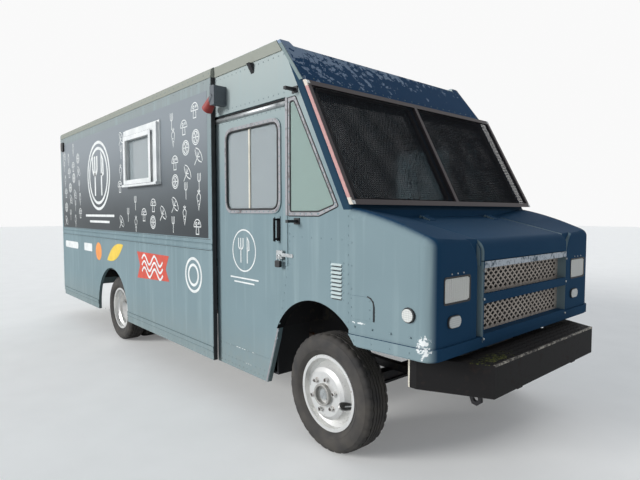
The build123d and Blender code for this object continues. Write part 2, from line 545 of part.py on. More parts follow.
# Roof: a shallow tray with thick side rails, cut back along the sloping cap
ROOF_REAR_X = BODY_REAR_X + REAR_FRAME_THICK
RAIL_THICK = 60.0
DRIP = 6.0
CAB_DRIP = 8.0
CAB_EDGE_RADIUS = 12.0
with BuildPart() as roof:
    for start_x, end_x, half, edge_radius, drip in (
        (ROOF_REAR_X, SPLIT_X, BODY_HALF, ROOF_EDGE_RADIUS, DRIP),
        (SPLIT_X, ROOF_FRONT_X + 200, CAB_HALF + CAB_DRIP, CAB_EDGE_RADIUS, 0),
    ):
        with BuildSketch(Plane.YZ.offset(start_x)) as roof_section:
            add(roof_outline(RAIL_Z, half, edge_radius))
            with Locations((0, RAIL_Z)):
                Rectangle(2 * (half + drip), 14, align=(Align.CENTER, Align.MIN))
                Rectangle(2 * (half - RAIL_THICK), ROOF_Z - ROOF_THICK - RAIL_Z,
                          align=(Align.CENTER, Align.MIN), mode=Mode.SUBTRACT)
        extrude(amount=end_x - start_x)
    with BuildSketch(Plane.XZ.offset(-BODY_HALF - 20)) as ahead_of_cap:
        with BuildLine():
            Polyline((cap_x(ROOF_EDGE_Z + 20, FRONT_THICK), ROOF_EDGE_Z + 20),
                     (cap_x(RAIL_Z - 20, FRONT_THICK), RAIL_Z - 20),
                     (ROOF_FRONT_X + 400, RAIL_Z - 20), (ROOF_FRONT_X + 400, ROOF_EDGE_Z + 20), close=True)
        make_face()
    extrude(amount=2 * BODY_HALF + 40, mode=Mode.SUBTRACT)
roof.part.label = "roof"
export_step(roof.part, "parts/roof.step")

# Front cap: the sloping sheet over the windshield
with BuildPart() as front_cap:
    with BuildSketch(Plane.XZ.offset(-BODY_HALF)) as cap_side:
        with BuildLine():
            Polyline((cap_x(ROOF_EDGE_Z), ROOF_EDGE_Z), (VISOR_X, VISOR_Z), (VISOR_X - FRONT_THICK, VISOR_Z),
                     (cap_x(ROOF_EDGE_Z, FRONT_THICK), ROOF_EDGE_Z), close=True)
        make_face()
    extrude(amount=2 * BODY_HALF)
    with BuildSketch(Plane.YZ.offset(ROOF_FRONT_X - 200)) as cap_front:
        add(roof_outline(VISOR_Z, CAB_HALF, CAB_EDGE_RADIUS))
    extrude(amount=600, mode=Mode.INTERSECT)
front_cap.part.label = "front_cap"
export_step(front_cap.part, "parts/front_cap.step")

# Rear frame: the portal that the rear doors close, with the ears and pins of their hinges
PORTAL_HALF = 760.0
PORTAL_TOP_Z = 2620.0
HINGE_X = BODY_REAR_X - 45.0
HINGE_Y = 806.0
HINGE_PIN = 6.0
HINGE_HEIGHTS = (1050.0, 1700.0, 2400.0)
HINGE_LONG = 60.0
EAR_THICK = 14.0
EAR_RADIUS = 10.0
with BuildPart() as rear_frame:
    with BuildSketch(Plane.YZ.offset(BODY_REAR_X)) as portal:
        add(roof_outline(SKIRT_Z + 100, BODY_HALF, ROOF_EDGE_RADIUS))
        with Locations((0, FLOOR_Z)):
            Rectangle(2 * PORTAL_HALF, PORTAL_TOP_Z - FLOOR_Z, align=(Align.CENTER, Align.MIN),
                      mode=Mode.SUBTRACT)
    extrude(amount=REAR_FRAME_THICK)
    for side in (-1, 1):
        for height in HINGE_HEIGHTS:
            for end in (-1, 1):
                ear_z = height + end * (HINGE_LONG / 2 + FIT + EAR_THICK / 2)
                with Locations((HINGE_X, side * HINGE_Y, ear_z)):
                    Box(BODY_REAR_X - HINGE_X, 2 * EAR_RADIUS, EAR_THICK,
                        align=(Align.MIN, Align.CENTER, Align.CENTER))
                    Cylinder(EAR_RADIUS, EAR_THICK)
            with Locations((HINGE_X, side * HINGE_Y, height)):
                Cylinder(HINGE_PIN, HINGE_LONG + 2 * (FIT + EAR_THICK))
rear_frame.part.label = "rear_frame"
export_step(rear_frame.part, "parts/rear_frame.step")

# Rear doors: each half overlaps the portal, hangs on three barrels and carries half of the lock
REAR_DOOR_THICK = 35.0
REAR_DOOR_LAP = 30.0
REAR_DOOR_GAP = 5.0
REAR_DOOR_BACK_X = BODY_REAR_X - REAR_DOOR_GAP - REAR_DOOR_THICK
MEETING_GAP = 3.0
STRAP_THICK = 5.0
PANEL_INSET = 90.0
PANEL_DEEP = 6.0
LOCK_BAR_Y = 70.0
for side_name, side in (("right", -1), ("left", 1)):
    leaf_wide = PORTAL_HALF + REAR_DOOR_LAP - MEETING_GAP
    leaf_y = side * (MEETING_GAP + leaf_wide / 2)
    leaf_high = PORTAL_TOP_Z - FLOOR_Z + 40
    leaf_z = (FLOOR_Z + PORTAL_TOP_Z) / 2
    with BuildPart() as rear_door:
        with BuildSketch(Plane.YZ.offset(REAR_DOOR_BACK_X)) as leaf_face:
            with Locations((leaf_y, leaf_z)):
                Rectangle(leaf_wide, leaf_high)
        extrude(amount=REAR_DOOR_THICK)
        with BuildSketch(Plane.YZ.offset(REAR_DOOR_BACK_X)) as leaf_panel:
            with Locations((leaf_y + side * 15, leaf_z)):
                RectangleRounded(leaf_wide - 2 * PANEL_INSET, leaf_high - 2 * PANEL_INSET, 40)
        extrude(amount=PANEL_DEEP, mode=Mode.SUBTRACT)
        for height in HINGE_HEIGHTS:
            with Locations((HINGE_X, side * (HINGE_Y - 12), height)):
                Box(STRAP_THICK, 24, HINGE_LONG)
            with Locations((HINGE_X + STRAP_THICK / 2, side * (HINGE_Y - 50), height)):
                Box(STRAP_THICK, 70, HINGE_LONG)
            with Locations((HINGE_X, side * HINGE_Y, height)):
                Cylinder(HINGE_PIN + 5, HINGE_LONG)
            with Locations((HINGE_X, side * HINGE_Y, height)):
                Cylinder(HINGE_PIN + RUNNING, HINGE_LONG, mode=Mode.SUBTRACT)
        if side == 1:
            for height in (FLOOR_Z + 60, 1250, PORTAL_TOP_Z - 60):
                with Locations((REAR_DOOR_BACK_X, LOCK_BAR_Y, height)):
                    Box(24, 50, 40, align=(Align.MAX, Align.CENTER, Align.CENTER))
            with Locations((REAR_DOOR_BACK_X - 12, LOCK_BAR_Y, leaf_z)):
                Cylinder(10, PORTAL_TOP_Z - FLOOR_Z - 20)
            with Locations((REAR_DOOR_BACK_X - 12, LOCK_BAR_Y, 1250)):
                Box(12, 230, 26, align=(Align.MAX, Align.MIN, Align.CENTER))
    rear_door.part.label = f"rear_door_{side_name}"
    export_step(rear_door.part, f"parts/rear_door_{side_name}.step")

# Cab front: the windshield wall with two openings, and the firewall below it
GLASS_TOP_Z = 2495.0
GLASS_BOTTOM_Z = 1725.0
GLASS_INNER = 32.0
GLASS_OUTER = 1050.0
GLASS_CORNER = 45.0
FIREWALL_HALF = FRONT_BOX_INNER - SHEET
PILLAR_RADIUS = 25.0
with BuildPart() as cab_front:
    with BuildSketch(Plane.XZ.offset(-CAB_HALF)) as wall_side:
        with BuildLine():
            Polyline((VISOR_X, VISOR_Z), (COWL_X, COWL_Z), (COWL_X, RAIL_TOP_Z), (FIREWALL_BACK_X, RAIL_TOP_Z),
                     (FIREWALL_BACK_X, COWL_Z), (VISOR_X - FRONT_THICK, VISOR_Z), close=True)
        make_face()
    extrude(amount=2 * CAB_HALF)
    slanted = cab_front.faces().filter_by(Axis.X, reverse=True).filter_by(Axis.Y, reverse=True)
    outer_slant = slanted.filter_by(Axis.Z, reverse=True).sort_by(Axis.X)[-1]
    fillet(outer_slant.edges().group_by(Axis.Y)[0] + outer_slant.edges().group_by(Axis.Y)[-1], PILLAR_RADIUS)
    for side in (-1, 1):
        outward = Align.MIN if side == 1 else Align.MAX
        with BuildSketch(Plane.YZ.offset(COWL_X - 1000)) as pane_cut:
            with Locations((side * (GLASS_INNER + GLASS_OUTER) / 2, (GLASS_BOTTOM_Z + GLASS_TOP_Z) / 2)):
                RectangleRounded(GLASS_OUTER - GLASS_INNER, GLASS_TOP_Z - GLASS_BOTTOM_Z, GLASS_CORNER)
        extrude(amount=1200, mode=Mode.SUBTRACT)
        with Locations((COWL_X, side * FIREWALL_HALF, RAIL_TOP_Z)):
            Box(4 * FRONT_THICK, CAB_HALF, FRONT_BOX_TOP_Z + SHEET - RAIL_TOP_Z,
                align=(Align.CENTER, outward, Align.MIN), mode=Mode.SUBTRACT)
    with Locations((COWL_X, 0, RAIL_TOP_Z)):
        Box(4 * FRONT_THICK, 2 * (COVER_HALF - COVER_WALL), COVER_TOP_Z - COVER_WALL - RAIL_TOP_Z,
            align=(Align.CENTER, Align.CENTER, Align.MIN), mode=Mode.SUBTRACT)
cab_front.part.label = "cab_front"
export_step(cab_front.part, "parts/cab_front.step")

# Cab sides: the header over the door, the quarter with its window, the wheel arch and the louvres
QUARTER_OUTLINE = (
    # station, height of each corner of the quarter window
    (FRONT_AXLE_X - 330.0, 2425.0),
    (FRONT_AXLE_X - 282.0, 2425.0),
    (FRONT_AXLE_X + 135.0, 1694.0),
    (FRONT_AXLE_X - 25.0, 1648.0),
    (FRONT_AXLE_X - 330.0, 1648.0),
)
QUARTER_CORNER = 18.0
CAP_FALL = cap_x(VISOR_Z, FRONT_THICK) - cap_x(VISOR_Z + 1, FRONT_THICK)
POST_TOP_Z = VISOR_Z + (cap_x(VISOR_Z, FRONT_THICK) - DOOR_POST_X) / CAP_FALL
LOUVRE_COUNT = 9
LOUVRE_X = FRONT_AXLE_X + 104.0
LOUVRE_WIDE = 98.0
LOUVRE_BOTTOM_Z = 1086.0
LOUVRE_PITCH = 26.5
LOUVRE_OUT = 9.0
for side_name, side in (("right", -1), ("left", 1)):
    with BuildPart() as cab_side:
        with BuildSketch(Plane.XZ.offset(-side * CAB_HALF)) as quarter:
            with BuildLine():
                Polyline((DOOR_POST_X, HEADER_Z), (DOOR_POST_X, DOOR_KNEE_Z), (DOOR_WAIST_X, DOOR_WAIST_Z),
                         (FIREWALL_BACK_X, DOOR_WAIST_Z), (FIREWALL_BACK_X, COWL_Z),
                         (windshield_x(VISOR_Z, FRONT_THICK), VISOR_Z), (DOOR_POST_X, POST_TOP_Z), close=True)
            make_face()
            with Locations((FRONT_ARCH_X, FRONT_ARCH_Z)):
                Circle(FRONT_ARCH_RADIUS, mode=Mode.SUBTRACT)
        extrude(amount=side * (CAB_HALF - POST_INNER))
        with BuildSketch(Plane.XZ.offset(-side * CAB_HALF)) as quarter_window:
            with BuildLine():
                Polyline(*QUARTER_OUTLINE, close=True)
            make_face()
            fillet(quarter_window.vertices(), QUARTER_CORNER)
        extrude(amount=side * (CAB_HALF - POST_INNER), mode=Mode.SUBTRACT)
        with BuildSketch(Plane.XZ.offset(-side * CAB_HALF)) as header:
            with BuildLine():
                Polyline((SPLIT_X, HEADER_Z), (DOOR_POST_X, HEADER_Z), (DOOR_POST_X, POST_TOP_Z),
                         (cap_x(RAIL_Z, FRONT_THICK), RAIL_Z), (SPLIT_X, RAIL_Z), close=True)
            make_face()
        extrude(amount=side * HEADER_THICK)
        with BuildSketch(Plane.XZ.offset(-side * CAB_HALF)) as corner_skin:
            with BuildLine():
                Polyline((FIREWALL_BACK_X, FRONT_BOX_TOP_Z + SHEET), (COWL_X, FRONT_BOX_TOP_Z + SHEET),
                         (COWL_X, NOSE_BOTTOM_Z), (FIREWALL_BACK_X, NOSE_BOTTOM_Z), close=True)
            make_face()
            with Locations((FRONT_ARCH_X, FRONT_ARCH_Z)):
                Circle(FRONT_ARCH_RADIUS, mode=Mode.SUBTRACT)
        extrude(amount=side * (CAB_HALF - POST_INNER))
        with BuildSketch(Plane.YZ.offset(LOUVRE_X)) as louvre_sections:
            for louvre in range(LOUVRE_COUNT):
                low = LOUVRE_BOTTOM_Z + louvre * LOUVRE_PITCH
                with BuildLine():
                    Polyline((side * CAB_HALF, low), (side * (CAB_HALF + LOUVRE_OUT), low + 2),
                             (side * (CAB_HALF + LOUVRE_OUT), low + 6), (side * CAB_HALF, low + 17), close=True)
                make_face()
        extrude(amount=LOUVRE_WIDE)
    cab_side.part.label = f"cab_side_{side_name}"
    export_step(cab_side.part, f"parts/cab_side_{side_name}.step")

# Sliding cab doors: the slanted front edge follows the wheel arch, a half-round rail crowns the top
DOOR_WINDOW = (FRONT_AXLE_X - 1225.0, FRONT_AXLE_X - 500.0, 1668.0, 2312.0)
DOOR_WINDOW_CORNER = 70.0
DOOR_WINDOW_RING = 34.0
RING_PROUD = 8.0
TOP_RAIL_RADIUS = 20.0
HANDLE_X = FRONT_AXLE_X - 500.0
HANDLE_LOW_Z = 1445.0
HANDLE_HIGH_Z = 1590.0
HANDLE_OUT = 42.0
HANDLE_RADIUS = 9.0
TRACK_Y = DOOR_HALF - DOOR_THICK / 2
TRACK_WIDE = 2 * (CAB_HALF - HEADER_THICK - TRACK_Y)
TRACK_HIGH = 50.0
TRACK_WALL = 5.0
TRACK_SLOT = 22.0
TRACK_Z = DOOR_TOP_Z + CLEAR
HANGER_THICK = 10.0
ROLLER_RADIUS = 15.0
ROLLER_WIDE = 30.0
HANGER_STATIONS = (SPLIT_X + 120.0, DOOR_POST_X - 160.0)
GLASS_THICK = 6.0
for side_name, side in (("right", -1), ("left", 1)):
    window_rear, window_front, window_low, window_high = DOOR_WINDOW
    window_middle = ((window_rear + window_front) / 2, (window_low + window_high) / 2)
    with BuildPart() as door:
        with BuildSketch(Plane.XZ.offset(-side * DOOR_HALF)) as door_side:
            with BuildLine():
                Polyline((DOOR_REAR_X, DOOR_BOTTOM_Z), (DOOR_TOE_X - CLEAR, DOOR_BOTTOM_Z),
                         (DOOR_WAIST_X - CLEAR, DOOR_WAIST_Z), (DOOR_POST_X - CLEAR, DOOR_KNEE_Z),
                         (DOOR_POST_X - CLEAR, DOOR_TOP_Z), (DOOR_REAR_X, DOOR_TOP_Z), close=True)
            make_face()
        extrude(amount=side * DOOR_THICK)
        with BuildSketch(Plane.XZ.offset(-side * DOOR_HALF)) as window_ring:
            with Locations(window_middle):
                RectangleRounded(window_front - window_rear + 2 * DOOR_WINDOW_RING,
                                 window_high - window_low + 2 * DOOR_WINDOW_RING,
                                 DOOR_WINDOW_CORNER + DOOR_WINDOW_RING / 2)
        extrude(amount=-side * RING_PROUD)
        with BuildSketch(Plane.XZ.offset(-side * (DOOR_HALF + RING_PROUD))) as window_cut:
            with Locations(window_middle):
                RectangleRounded(window_front - window_rear, window_high - window_low, DOOR_WINDOW_CORNER)
        extrude(amount=side * (DOOR_THICK + RING_PROUD), mode=Mode.SUBTRACT)
        with BuildSketch(Plane.YZ.offset(DOOR_REAR_X)) as top_rail:
            with Locations((side * DOOR_HALF, DOOR_TOP_Z - TOP_RAIL_RADIUS - 1)):
                Circle(TOP_RAIL_RADIUS)
            with Locations((side * DOOR_HALF, DOOR_TOP_Z - TOP_RAIL_RADIUS - 1)):
                Rectangle(2 * TOP_RAIL_RADIUS, 2 * TOP_RAIL_RADIUS,
                          align=(Align.MAX if side == 1 else Align.MIN, Align.CENTER), mode=Mode.SUBTRACT)
        extrude(amount=DOOR_POST_X - CLEAR - DOOR_REAR_X)
        with Locations((HANDLE_X, side * DOOR_HALF, (HANDLE_LOW_Z + HANDLE_HIGH_Z) / 2)):
            Box(40, 6, HANDLE_HIGH_Z - HANDLE_LOW_Z + 50,
                align=(Align.CENTER, Align.MIN if side == 1 else Align.MAX, Align.CENTER))
        for height in (HANDLE_LOW_Z, HANDLE_HIGH_Z):
            with BuildSketch(Plane.XZ.offset(-side * DOOR_HALF)) as handle_post:
                with Locations((HANDLE_X, height)):
                    Circle(HANDLE_RADIUS - 2)
            extrude(amount=-side * HANDLE_OUT)
        with Locations((HANDLE_X, side * (DOOR_HALF + HANDLE_OUT), (HANDLE_LOW_Z + HANDLE_HIGH_Z) / 2)):
            Cylinder(HANDLE_RADIUS, HANDLE_HIGH_Z - HANDLE_LOW_Z + 4 * HANDLE_RADIUS)
        for station in HANGER_STATIONS:
            with Locations((station, side * TRACK_Y, DOOR_TOP_Z)):
                Box(60, HANGER_THICK, TRACK_Z + TRACK_WALL + FIT + ROLLER_RADIUS - DOOR_TOP_Z,
                    align=(Align.CENTER, Align.CENTER, Align.MIN))
            with Locations((station, side * TRACK_Y, TRACK_Z + TRACK_WALL + FIT + ROLLER_RADIUS)):
                Cylinder(ROLLER_RADIUS, ROLLER_WIDE, rotation=(90, 0, 0))
    door.part.label = f"door_{side_name}"
    export_step(door.part, f"parts/door_{side_name}.step")

    with BuildPart() as door_glass:
        with BuildSketch(Plane.XZ.offset(-side * (DOOR_HALF - 5))) as pane:
            with Locations(window_middle):
                RectangleRounded(window_front - window_rear, window_high - window_low, DOOR_WINDOW_CORNER)
        extrude(amount=side * GLASS_THICK)
    door_glass.part.label = f"door_glass_{side_name}"
    export_step(door_glass.part, f"parts/door_glass_{side_name}.step")

# Door tracks: a slotted channel on the inner face of each header
with BuildPart() as door_tracks:
    for side in (-1, 1):
        with BuildSketch(Plane.YZ.offset(SLIDE_REAR_X)) as track_section:
            with Locations((side * TRACK_Y, TRACK_Z)):
                Rectangle(TRACK_WIDE, TRACK_HIGH, align=(Align.CENTER, Align.MIN))
            with Locations((side * TRACK_Y, TRACK_Z + TRACK_WALL)):
                Rectangle(TRACK_WIDE - 2 * TRACK_WALL, TRACK_HIGH - 2 * TRACK_WALL, align=(Align.CENTER, Align.MIN),
                          mode=Mode.SUBTRACT)
            with Locations((side * TRACK_Y, TRACK_Z)):
                Rectangle(TRACK_SLOT, TRACK_WALL, align=(Align.CENTER, Align.MIN), mode=Mode.SUBTRACT)
        extrude(amount=DOOR_POST_X - SLIDE_REAR_X)
door_tracks.part.label = "door_tracks"
export_step(door_tracks.part, "parts/door_tracks.step")

# Windshield and quarter panes
PANE_INSET = 12.0
with BuildPart() as cab_glass:
    with BuildSketch(Plane.XZ.offset(-CAB_HALF)) as pane_side:
        with BuildLine():
            Polyline((windshield_x(GLASS_TOP_Z, PANE_INSET), GLASS_TOP_Z),
                     (windshield_x(GLASS_BOTTOM_Z, PANE_INSET), GLASS_BOTTOM_Z),
                     (windshield_x(GLASS_BOTTOM_Z, PANE_INSET + GLASS_THICK), GLASS_BOTTOM_Z),
                     (windshield_x(GLASS_TOP_Z, PANE_INSET + GLASS_THICK), GLASS_TOP_Z), close=True)
        make_face()
    extrude(amount=2 * CAB_HALF)
    with BuildSketch(Plane.YZ.offset(COWL_X - 1000)) as panes:
        for side in (-1, 1):
            with Locations((side * (GLASS_INNER + GLASS_OUTER) / 2, (GLASS_BOTTOM_Z + GLASS_TOP_Z) / 2)):
                RectangleRounded(GLASS_OUTER - GLASS_INNER, GLASS_TOP_Z - GLASS_BOTTOM_Z, GLASS_CORNER)
    extrude(amount=1200, mode=Mode.INTERSECT)
    for side in (-1, 1):
        with BuildSketch(Plane.XZ.offset(-side * (CAB_HALF - PANE_INSET))) as quarter_pane:
            with BuildLine():
                Polyline(*QUARTER_OUTLINE, close=True)
            make_face()
            fillet(quarter_pane.vertices(), QUARTER_CORNER)
        extrude(amount=side * GLASS_THICK)
cab_glass.part.label = "cab_glass"
export_step(cab_glass.part, "parts/cab_glass.step")


# Headlamps and small lamps; the nose is cut to seat them
HEADLAMP_Y = 852.0
HEADLAMP_Z = 1200.0
HEADLAMP_WIDE = 272.0
HEADLAMP_HIGH = 160.0
HEADLAMP_DEEP = 58.0
HEADLAMP_PROUD = 3.0
with BuildPart() as headlamps:
    for side in (-1, 1):
        with BuildSketch(Plane.YZ.offset(FACE_X + HEADLAMP_PROUD)) as headlamp:
            with Locations((side * HEADLAMP_Y, HEADLAMP_Z)):
                RectangleRounded(HEADLAMP_WIDE, HEADLAMP_HIGH, 18)
        extrude(amount=-HEADLAMP_DEEP)
headlamps.part.label = "headlamps"
export_step(headlamps.part, "parts/headlamps.step")

OVAL_PLACES = ((-888.0, 1020.0), (780.0, 1004.0))
SIDE_LAMP_X = FRONT_AXLE_X + 715.0
SIDE_LAMP_Y = 1090.0
SIDE_LAMP_Z = 1061.0
POST_LAMP_X = BODY_REAR_X + 165.0
POST_LAMP_Z = 2667.0
TAIL_LAMP_Y = 965.0
TAIL_LAMP_Z = (620.0, 760.0)
with BuildPart() as marker_lamps:
    with BuildSketch(Plane.YZ.offset(FACE_X - 10)) as oval_lamps:
        with Locations(*OVAL_PLACES):
            RectangleRounded(116, 64, 31)
    extrude(amount=24)
    for side in (-1, 1):
        with BuildSketch(Plane.XZ.offset(-side * SIDE_LAMP_Y)) as side_lamp:
            with Locations((SIDE_LAMP_X, SIDE_LAMP_Z)):
                Circle(38)
        extrude(amount=-side * 24)
        with BuildSketch(Plane.XZ.offset(-side * BODY_HALF)) as post_lamp:
            with Locations((POST_LAMP_X, POST_LAMP_Z)):
                RectangleRounded(110, 140, 30)
        extrude(amount=-side * 28)
        with BuildSketch(Plane.YZ.offset(BODY_REAR_X)) as tail_lamps:
            with Locations(*[(side * TAIL_LAMP_Y, height) for height in TAIL_LAMP_Z]):
                Circle(52)
        extrude(amount=-26)
marker_lamps.part.label = "marker_lamps"
export_step(marker_lamps.part, "parts/marker_lamps.step")


def nose_dish(inset):
    """Space above the fender tops, which slope from the crests down to the hood."""
    dish_table = (
        # station, height of the crest
        (COWL_X - 20, COWL_Z + 5),
        CREST_MIDDLE,
        (CREST_FRONT[0] + 30, CREST_FRONT[1] - 8),
    )
    crest_y = NOSE_REAR_HALF - 95.0
    beyond = NOSE_REAR_HALF + 100.0
    with BuildPart() as dish:
        for station, crest in dish_table:
            valley = hood_z(station)
            edge_z = valley + (crest - valley) * (beyond - HOOD_HALF) / (crest_y - HOOD_HALF)
            with BuildSketch(Plane.YZ.offset(station)) as dish_section:
                with BuildLine():
                    Polyline((-beyond, edge_z - inset), (-HOOD_HALF, valley - inset),
                             (HOOD_HALF, valley - inset), (beyond, edge_z - inset),
                             (beyond, edge_z + 300), (-beyond, edge_z + 300), close=True)
                make_face()
        loft(ruled=True)
    return dish.part


def nose_form(front_x, inset):
    """Solid form of the nose with its front face at a station, or the form that far inside it."""
    bottom_z = NOSE_BOTTOM_Z - inset
    with BuildPart() as form:
        with BuildSketch(Plane.XY.offset(bottom_z)) as plan:
            with BuildLine():
                Polyline((COWL_X, NOSE_REAR_HALF - inset), (front_x - inset, NOSE_FRONT_HALF - inset),
                         (front_x - inset, inset - NOSE_FRONT_HALF), (COWL_X, inset - NOSE_REAR_HALF),
                         close=True)
            make_face()
            fillet(plan.vertices().group_by(Axis.X)[-1], NOSE_CORNER_RADIUS - inset)
        extrude(amount=COWL_Z - bottom_z + 50)
        with BuildSketch(Plane.XZ.offset(-NOSE_REAR_HALF)) as profile:
            with BuildLine():
                ThreePointArc((COWL_X, COWL_Z - inset), (CREST_MIDDLE[0], CREST_MIDDLE[1] - inset),
                              (CREST_FRONT[0], CREST_FRONT[1] - inset))
                Polyline((CREST_FRONT[0], CREST_FRONT[1] - inset), (CREST_FRONT[0], bottom_z),
                         (COWL_X, bottom_z), (COWL_X, COWL_Z - inset))
            make_face()
        extrude(amount=2 * NOSE_REAR_HALF, mode=Mode.INTERSECT)
        top_edges = form.faces().sort_by(Axis.Z)[-1].edges()
        fillet([edge for edge in top_edges if edge.center().X > COWL_X + 1], CREST_RADIUS - inset)
        add(nose_dish(inset), mode=Mode.SUBTRACT)
    return form.part


def hood_strip(y_low, y_high, deep_from, deep_to, edge_radius=0.0):
    """Part of the hood's form between two depths below its surface, as wide as stated."""
    with BuildPart() as strip:
        for deep, mode in ((deep_from, Mode.ADD), (deep_to, Mode.SUBTRACT)):
            front_x = HOOD_FRONT_X - deep
            with BuildSketch(Plane.XZ.offset(-y_high)) as outline:
                with BuildLine():
                    Polyline((COWL_X, GRILLE_TOP_Z), (front_x, GRILLE_TOP_Z), (front_x, hood_z(front_x) - deep),
                             (COWL_X, hood_z(COWL_X) - deep), close=True)
                make_face()
                brow = outline.vertices().group_by(Axis.X)[-1].sort_by(Axis.Y)[-1]
                fillet(brow, HOOD_BROW_RADIUS - deep)
            extrude(amount=y_high - y_low, mode=mode)
            if edge_radius and mode == Mode.ADD:
                side_edges = [edge for edge in strip.edges() if abs(edge.center().Y) > HOOD_HALF - 1
                              and edge.center().X > COWL_X + 1 and edge.center().Z > GRILLE_TOP_Z + 1]
                fillet(side_edges, edge_radius)
    return strip.part


# Face blocks: where the fender faces stand proud, with a rounded inner edge beside the groove
FACE_INNER = 630.0
FACE_KNEE_Z = 1400.0
FACE_KNEE_RADIUS = 200.0
FACE_EDGE_RADIUS = 18.0
with BuildPart() as face_blocks:
    for side in (-1, 1):
        with BuildSketch(Plane.YZ.offset(GROOVE_X - 60)) as face_outline:
            with BuildLine():
                Polyline((side * FACE_INNER, NOSE_BOTTOM_Z - 50), (side * FACE_INNER, FACE_KNEE_Z),
                         (side * 900, FACE_KNEE_Z + 220), (side * 1250, FACE_KNEE_Z + 220),
                         (side * 1250, NOSE_BOTTOM_Z - 50), close=True)
            make_face()
            knee = face_outline.vertices().group_by(Axis.Y)[1][0]
            fillet(knee, FACE_KNEE_RADIUS)
        extrude(amount=FACE_X - GROOVE_X + 60)
    front_edges = face_blocks.faces().group_by(Axis.X)[-1].edges()
    inner_edges = [edge for edge in front_edges if abs(edge.center().Y) < 890 and edge.center().Z > 800]
    fillet(inner_edges, FACE_EDGE_RADIUS)
    add(nose_form(FACE_X, 0), mode=Mode.INTERSECT)

# Lip: a band round the foot of the nose, proud of it, that ramps back to the wall above
LIP_OUT = 12.0
LIP_TOP_Z = 885.0
LIP_RAMP = 75.0
with BuildPart() as lip:
    for low, high, taper in ((NOSE_BOTTOM_Z, LIP_TOP_Z - NOSE_BOTTOM_Z, 0), (LIP_TOP_Z, LIP_RAMP, 9.1)):
        with BuildSketch(Plane.XY.offset(low)) as lip_plan:
            with BuildLine():
                Polyline((COWL_X - 60, NOSE_REAR_HALF + LIP_OUT + 6),
                         (FACE_X + LIP_OUT, NOSE_FRONT_HALF + LIP_OUT),
                         (FACE_X + LIP_OUT, -NOSE_FRONT_HALF - LIP_OUT),
                         (COWL_X - 60, -NOSE_REAR_HALF - LIP_OUT - 6), close=True)
            make_face()
            fillet(lip_plan.vertices().group_by(Axis.X)[-1], NOSE_CORNER_RADIUS + LIP_OUT)
        extrude(amount=high, taper=taper)
    with Locations((COWL_X, 0, NOSE_BOTTOM_Z)):
        Box(400, 3000, 400, align=(Align.MAX, Align.CENTER, Align.CENTER), mode=Mode.SUBTRACT)

